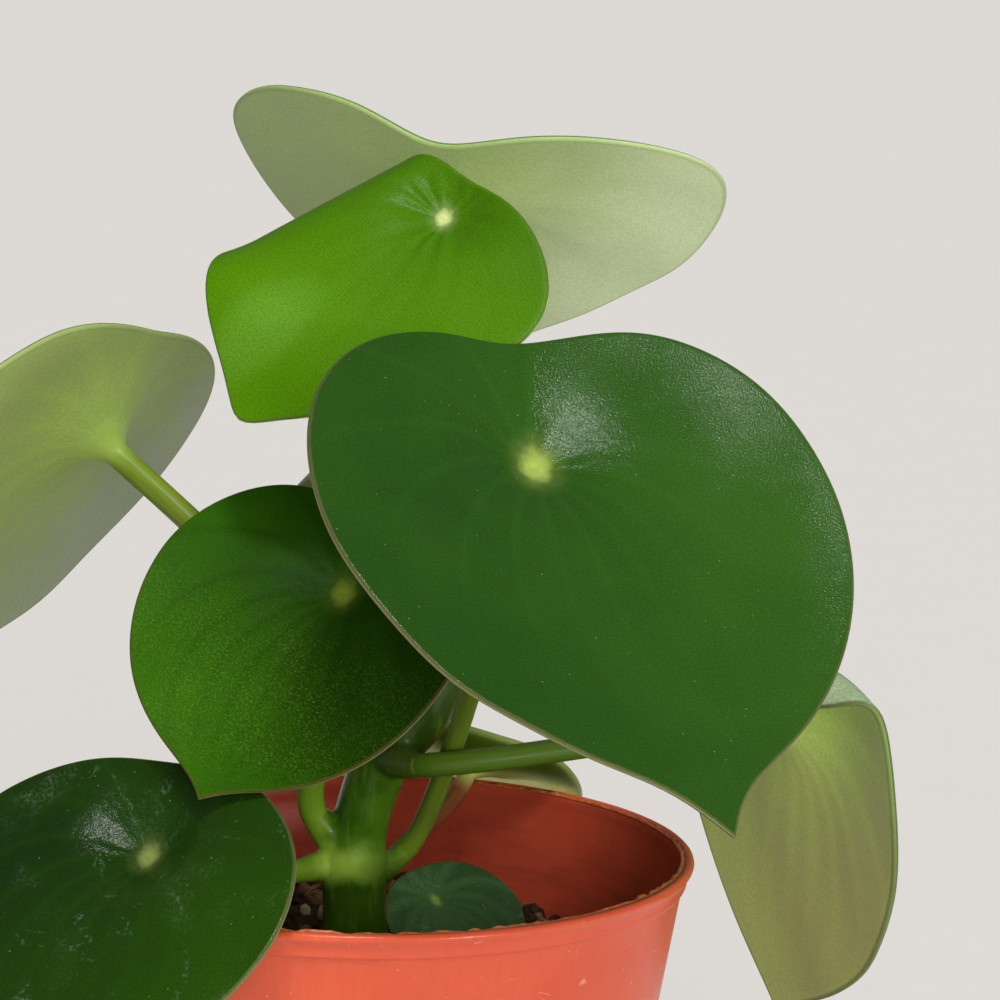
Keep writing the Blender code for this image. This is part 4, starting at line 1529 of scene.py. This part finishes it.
def pot_finish():
    finish = Finish("terracotta_plastic", IOR=1.5, Specular_IOR_Level=0.45)
    place = finish.place()
    x, y, height = finish.parts(place)
    radius = length(x, y)
    cloud = finish.ramp(finish.noise(place, 22, detail=3), 0.3, 0.7)
    colour = finish.mix(cloud, *PLASTIC_TINTS)
    upright = finish.noise(finish.stretched(place, (1.0, 1.0, 0.06)), 1.2, detail=3)
    colour = finish.mix(finish.ramp(upright, 0.35, 0.75) * 0.16, colour, DRAW_LINE_TINT)
    fine = finish.noise(place, 0.6, detail=3, roughness=0.7)
    colour = finish.mix(finish.ramp(fine, 0.55, 0.8) * 0.3, colour, RUBBED_TINT)

    taper = (RIM_RADIUS - LIP_OVERHANG - BASE_RADIUS) / (POT_HEIGHT - LIP_HEIGHT)
    inside = finish.ramp(radius - (height * taper + BASE_RADIUS), -0.35, -0.7)
    run_down = finish.noise(finish.stretched(place, (0.5, 0.5, 2.2)), 4, detail=5)
    level = finish.noise(finish.stretched(place, (0.08, 0.08, 2.0)), 3, detail=3)
    low = finish.ramp(height, 92.0, 74.0, 0.25, 0.9)
    # painted shade: the inside of the wall made darker
    colour = finish.mix(inside * 0.5, colour, INSIDE_SHADE_TINT)
    dirt = inside * low * finish.ramp(run_down, 0.4, 0.7) * 0.35
    colour = finish.mix(dirt, colour, DIRT_TINT)
    rings = inside * finish.ramp(level, 0.45, 0.7) * 0.2
    colour = finish.mix(rings, colour, WATER_RING_TINT)

    inward = RIM_RADIUS - radius
    flash = finish.ramp(height, 94.1, 94.4) * finish.ramp(inward, 1.65, 1.85)
    worn = finish.noise(place, 1.3, detail=4)
    burnt = finish.mix(finish.ramp(worn, 0.4, 0.6), *FLASH_TINTS)
    colour = finish.mix(flash * 0.85, colour, burnt)
    groove = finish.ramp((inward - GROOVE_INWARD).math("ABSOLUTE"), 0.34, 0.1)
    groove = groove * finish.ramp(height, 93.9, 94.2)
    groove = groove * finish.ramp(worn, 0.36, 0.56) * 0.85
    colour = finish.mix(groove, colour, GROOVE_TINT)
    for spacing, bare in CHALK_LAYERS:
        speck, luck = finish.cells(place, spacing)
        chalk = finish.ramp(speck, 0.3 / spacing, 0.1 / spacing)
        chalk = chalk * finish.ramp(luck, bare, bare + 0.08)
        chalk = chalk * finish.ramp(inside, 0.0, 1.0, 0.28, 0.04)
        colour = finish.mix(chalk, colour, CHALK_TINT)
    slanting = finish.stretched(place, (0.5, 0.5, 0.9))
    scratch = (finish.noise(slanting, 7, distortion=0.6) - 0.5).math("ABSOLUTE")
    broken = finish.ramp(finish.noise(place, 5, detail=3), 0.56, 0.7) * (1.0 - inside)
    scratch = finish.ramp(scratch, 0.006, 0.0) * broken * 0.55
    colour = finish.mix(scratch, colour, SCRATCH_TINT)
    scuff = finish.noise(finish.stretched(place, (1.0, 1.0, 3.0)), 8, detail=6, roughness=0.75)
    colour = finish.mix(finish.ramp(scuff, 0.62, 0.8) * 0.25, colour, SCUFF_TINT)
    finish.colour(colour)
    bead = finish.ramp(height, 93.0, 93.6)
    dull = finish.ramp(cloud + flash, 0.0, 2.0, 0.34, 0.55)
    finish.roughness(dull - bead * 0.16)
    finish.bump(fine * 0.035 + upright * 0.03 + worn * flash * 0.3)
    return finish.material


print("terracotta", PLASTIC_TINTS)

# %% [markdown]
# ## The pot
#
# The profile is spun round the axis, and the flash is made uneven by lifting its points by a
# little noise. The drain holes are bored afterwards with short cylinders, as a drill would, so
# their edges stay sharp while the moulded parts are smooth.

# %% The pot
POT_SEGMENTS = 240
DRAIN_HOLES = 8
DRAIN_RADIUS = 4.0
DRAIN_CIRCLE = 31.0
DRAIN_SIDES = 32
SHARP_CORNER = 50.0
FLASH_HEIGHT = 0.5
FLASH_LEVEL = 0.25  # taken off its noise, so that more of it is low than high


def circle(radius, count, start=0.0):
    """Evenly spaced points round the pot's axis, as pairs of x and y."""
    turns = [2 * math.pi * (step + start) / count for step in range(count)]
    return [(radius * math.cos(turn), radius * math.sin(turn)) for turn in turns]


def spun_pot():
    """The pot without its drain holes."""
    bm = bmesh.new()
    rings = []
    for radius, height, uneven in pot_profile():
        if radius == 0:
            rings.append([bm.verts.new((0, 0, height * MM))])
            continue
        ring = []
        for x, y in circle(radius, POT_SEGMENTS):
            broad = noise.noise(Vector((x, y, 0)) * 0.45)
            fine = noise.noise(Vector((x, y, 9)) * 1.4)
            z = height + uneven * FLASH_HEIGHT * (broad + 0.7 * fine - FLASH_LEVEL)
            ring.append(bm.verts.new((x * MM, y * MM, min(z, POT_HEIGHT) * MM)))
        rings.append(ring)
    bridge(bm, rings)
    return object_of("pot_moulded", bm)


def make_pot():
    pot = spun_pot()
    drills = bpy.data.collections.new("drills")
    for index, (x, y) in enumerate(circle(DRAIN_CIRCLE, DRAIN_HOLES, start=0.5)):
        bore = bmesh.new()
        add_tube(bore, ((x, y, -2), (x, y, 3)), (DRAIN_RADIUS, DRAIN_RADIUS), DRAIN_SIDES)
        drills.objects.link(object_of(f"drill_{index}", bore))
    cut = pot.modifiers.new("drain_holes", "BOOLEAN")
    cut.operation = "DIFFERENCE"
    cut.solver = "EXACT"
    cut.operand_type = "COLLECTION"
    cut.collection = drills
    apply_modifiers(pot)
    for drill in list(drills.objects):
        bpy.data.objects.remove(drill, do_unlink=True)
    bpy.data.collections.remove(drills)
    pot.data.set_sharp_from_angle(angle=math.radians(SHARP_CORNER))
    pot.data.materials.clear()
    pot.data.materials.append(pot_finish())
    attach(pot, "root")
    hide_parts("pot")
    return pot


pot = make_pot()
print("pot", len(pot.data.polygons), "faces")

# %% [markdown]
# ## The body of the soil
#
# The soil fills the pot to about a fifth below its lip, a little crowned and lower to the right.
# Rings of points follow the tapered wall; noise of three sizes makes the top uneven.

# %% The body of the soil
SOIL_LEVEL = 74.0
SOIL_CROWN = 2.0
SOIL_SLOPE = -0.11
SOIL_SEGMENTS = 150
SOIL_RINGS = 48
SOIL_GAP = 0.15  # between the soil and the wall
BOTTOM_GAP = 0.3  # between the soil and the pot's floor
BOTTOM_INSET = 1.2


def soil_height(x, y):
    """Height of the soil's uneven top, slightly crowned and lower to the right."""
    crown = SOIL_CROWN * (1 - (math.hypot(x, y) / RIM_RADIUS) ** 2)
    broad = 1.2 * noise.noise(Vector((x, y, 0)) * 0.13)
    crumb = 0.7 * noise.noise(Vector((x, y, 5)) * 0.5) + 0.35 * noise.noise(Vector((x, y, 8)) * 1.3)
    return SOIL_LEVEL + crown + broad + crumb + SOIL_SLOPE * x


def soil_body(edge):
    """Points and faces of the soil without its lumps."""
    bottom = FLOOR + BOTTOM_GAP
    foot = wall_radius(bottom) - WALL - BOTTOM_INSET
    points = [(0, 0, bottom)]
    points += [(x, y, bottom) for x, y in circle(foot, SOIL_SEGMENTS)]
    for ring in range(SOIL_RINGS):
        for x, y in circle(edge * (1 - ring / SOIL_RINGS), SOIL_SEGMENTS):
            rise = soil_height(x, y)
            stretch = (wall_radius(rise) - WALL - SOIL_GAP) / edge
            points.append((x * stretch, y * stretch, rise))
    points.append((0, 0, soil_height(0, 0)))
    top = len(points) - 1
    faces = []
    for index in range(SOIL_SEGMENTS):
        after = (index + 1) % SOIL_SEGMENTS
        faces.append((0, 1 + after, 1 + index))
        for ring in range(SOIL_RINGS):
            low = 1 + ring * SOIL_SEGMENTS
            high = low + SOIL_SEGMENTS
            faces.append((low + index, low + after, high + after, high + index))
        faces.append((high + index, high + after, top))
    return points, faces


print("soil at the middle of the pot:", round(soil_height(0, 0), 1), "mm")

# %% [markdown]
# ## Lumps
#
# Potting mix is peat with bark chips, grit and crumbs. A noisy surface alone looks like clay, so
# several hundred small lumps are strewn over it, each a rounded stone pulled out of shape, sunk
# nearly to its middle and given a random number that makes it peat, bark or grit. The random
# numbers start from a fixed seed, so the soil is the same each time.

# %% Lumps
LUMPS = 900
LUMP_GAP = 0.1  # between a lump and the wall
LUMP_SIZES = (0.5, 2.2)  # the least radius, and how much more the largest lump has
LUMP_RISE = 0.25  # height of a lump's middle over the soil, in sizes of the lump
SOIL_SEED = 7
BARK_CHIP = (33, 44, 2.4, 0.96)  # x, y, size and kind of the one large chip at the back
SOIL_CLEAR = ((-0.8, 0, 7.5), (18, -19, 2.5))  # x, y and radius of places kept for stems


def against_wall(point):
    """A point of a lump, drawn in where it would reach through the tapered wall."""
    limit = wall_radius(point.z) - WALL - LUMP_GAP
    shrink = min(1.0, limit / max(1.0, math.hypot(point.x, point.y)))
    return Vector((point.x * shrink, point.y * shrink, point.z))


def round_stone():
    """Points and faces of a small round stone of radius 1."""
    bm = bmesh.new()
    bmesh.ops.create_icosphere(bm, subdivisions=2, radius=1.0)
    points = [vert.co.copy() for vert in bm.verts]
    faces = [[vert.index for vert in face.verts] for face in bm.faces]
    bm.free()
    return points, faces


def strewn_lumps(stone, edge):
    """Lumps of soil as rows of (points, kind), drawn from a fixed seed."""
    draw = np.random.default_rng(SOIL_SEED)
    least, more = LUMP_SIZES
    lumps = []
    for _ in range(LUMPS):
        radius = (edge - 1) * math.sqrt(draw.random())
        turn = draw.random() * 2 * math.pi
        x = radius * math.cos(turn)
        y = radius * math.sin(turn)
        size = least + more * draw.random() ** 3
        kind = draw.random()
        shape = draw.uniform(0.6, 1.3, 3) * size
        tilt = Matrix.Rotation(draw.random() * 6, 3, Vector(draw.normal(size=3)).normalized())
        shift = Vector((draw.random() * 50, 0, 0))
        if not lumps:
            x, y, size, kind = BARK_CHIP
        if any(math.hypot(x - a, y - b) < room + size for a, b, room in SOIL_CLEAR):
            continue
        middle = Vector((x, y, soil_height(x, y) + size * LUMP_RISE))
        points = []
        for point in stone:
            rough = 1 + 0.45 * noise.noise(point * 1.3 + shift)
            pulled = Vector([a * b * rough for a, b in zip(point, shape)])
            points.append(against_wall(middle + tilt @ pulled))
        lumps.append((points, kind))
    return lumps


print("a lump has", len(round_stone()[1]), "faces")

# %% [markdown]
# ## The soil
#
# Body and lumps share one mesh and one finish. Each point keeps the random number of its lump, and
# the finish reads it: most are dark peat, some are brown bark and a few are pale grit.

# %% The soil
PEAT_TINTS = ((26, 17, 12), (66, 47, 34))
BARK_TINTS = ((76, 52, 36), (138, 102, 74))
GRIT_TINTS = ((134, 118, 96), (186, 170, 146))


def soil_finish():
    finish = Finish("potting_soil", IOR=1.4, Specular_IOR_Level=0.3)
    place = finish.place()
    kind = finish.attribute("kind")
    fine = finish.noise(place, 1.1, detail=5, roughness=0.7)
    peat = finish.mix(finish.ramp(fine, 0.3, 0.7), *PEAT_TINTS)
    bark = finish.mix(finish.ramp(fine, 0.35, 0.65), *BARK_TINTS)
    grit = finish.mix(fine, *GRIT_TINTS)
    colour = finish.mix(finish.ramp(kind, 0.5, 0.62), peat, bark)
    colour = finish.mix(finish.ramp(kind, 0.93, 0.95), colour, grit)
    finish.colour(colour)
    finish.roughness(finish.ramp(fine, 0.3, 0.7, 0.7, 0.95))
    finish.bump(fine * 0.5)
    return finish.material


def make_soil():
    edge = wall_radius(SOIL_LEVEL) - WALL - SOIL_GAP
    points, faces = soil_body(edge)
    kinds = [0.0] * len(points)
    stone, stone_faces = round_stone()
    for lump, kind in strewn_lumps(stone, edge):
        first = len(points)
        points += lump
        kinds += [kind] * len(lump)
        faces += [tuple(first + corner for corner in face) for face in stone_faces]
    mesh = bpy.data.meshes.new("soil_crumbly")
    mesh.from_pydata([Vector(point) * MM for point in points], [], faces)
    mesh.attributes.new("kind", "FLOAT", "POINT").data.foreach_set("value", kinds)
    mesh.shade_smooth()
    soil = placed("soil_crumbly", mesh)
    soil.data.materials.append(soil_finish())
    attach(soil, "root")
    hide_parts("soil")
    return soil


soil = make_soil()
print("soil", len(soil.data.polygons), "faces")
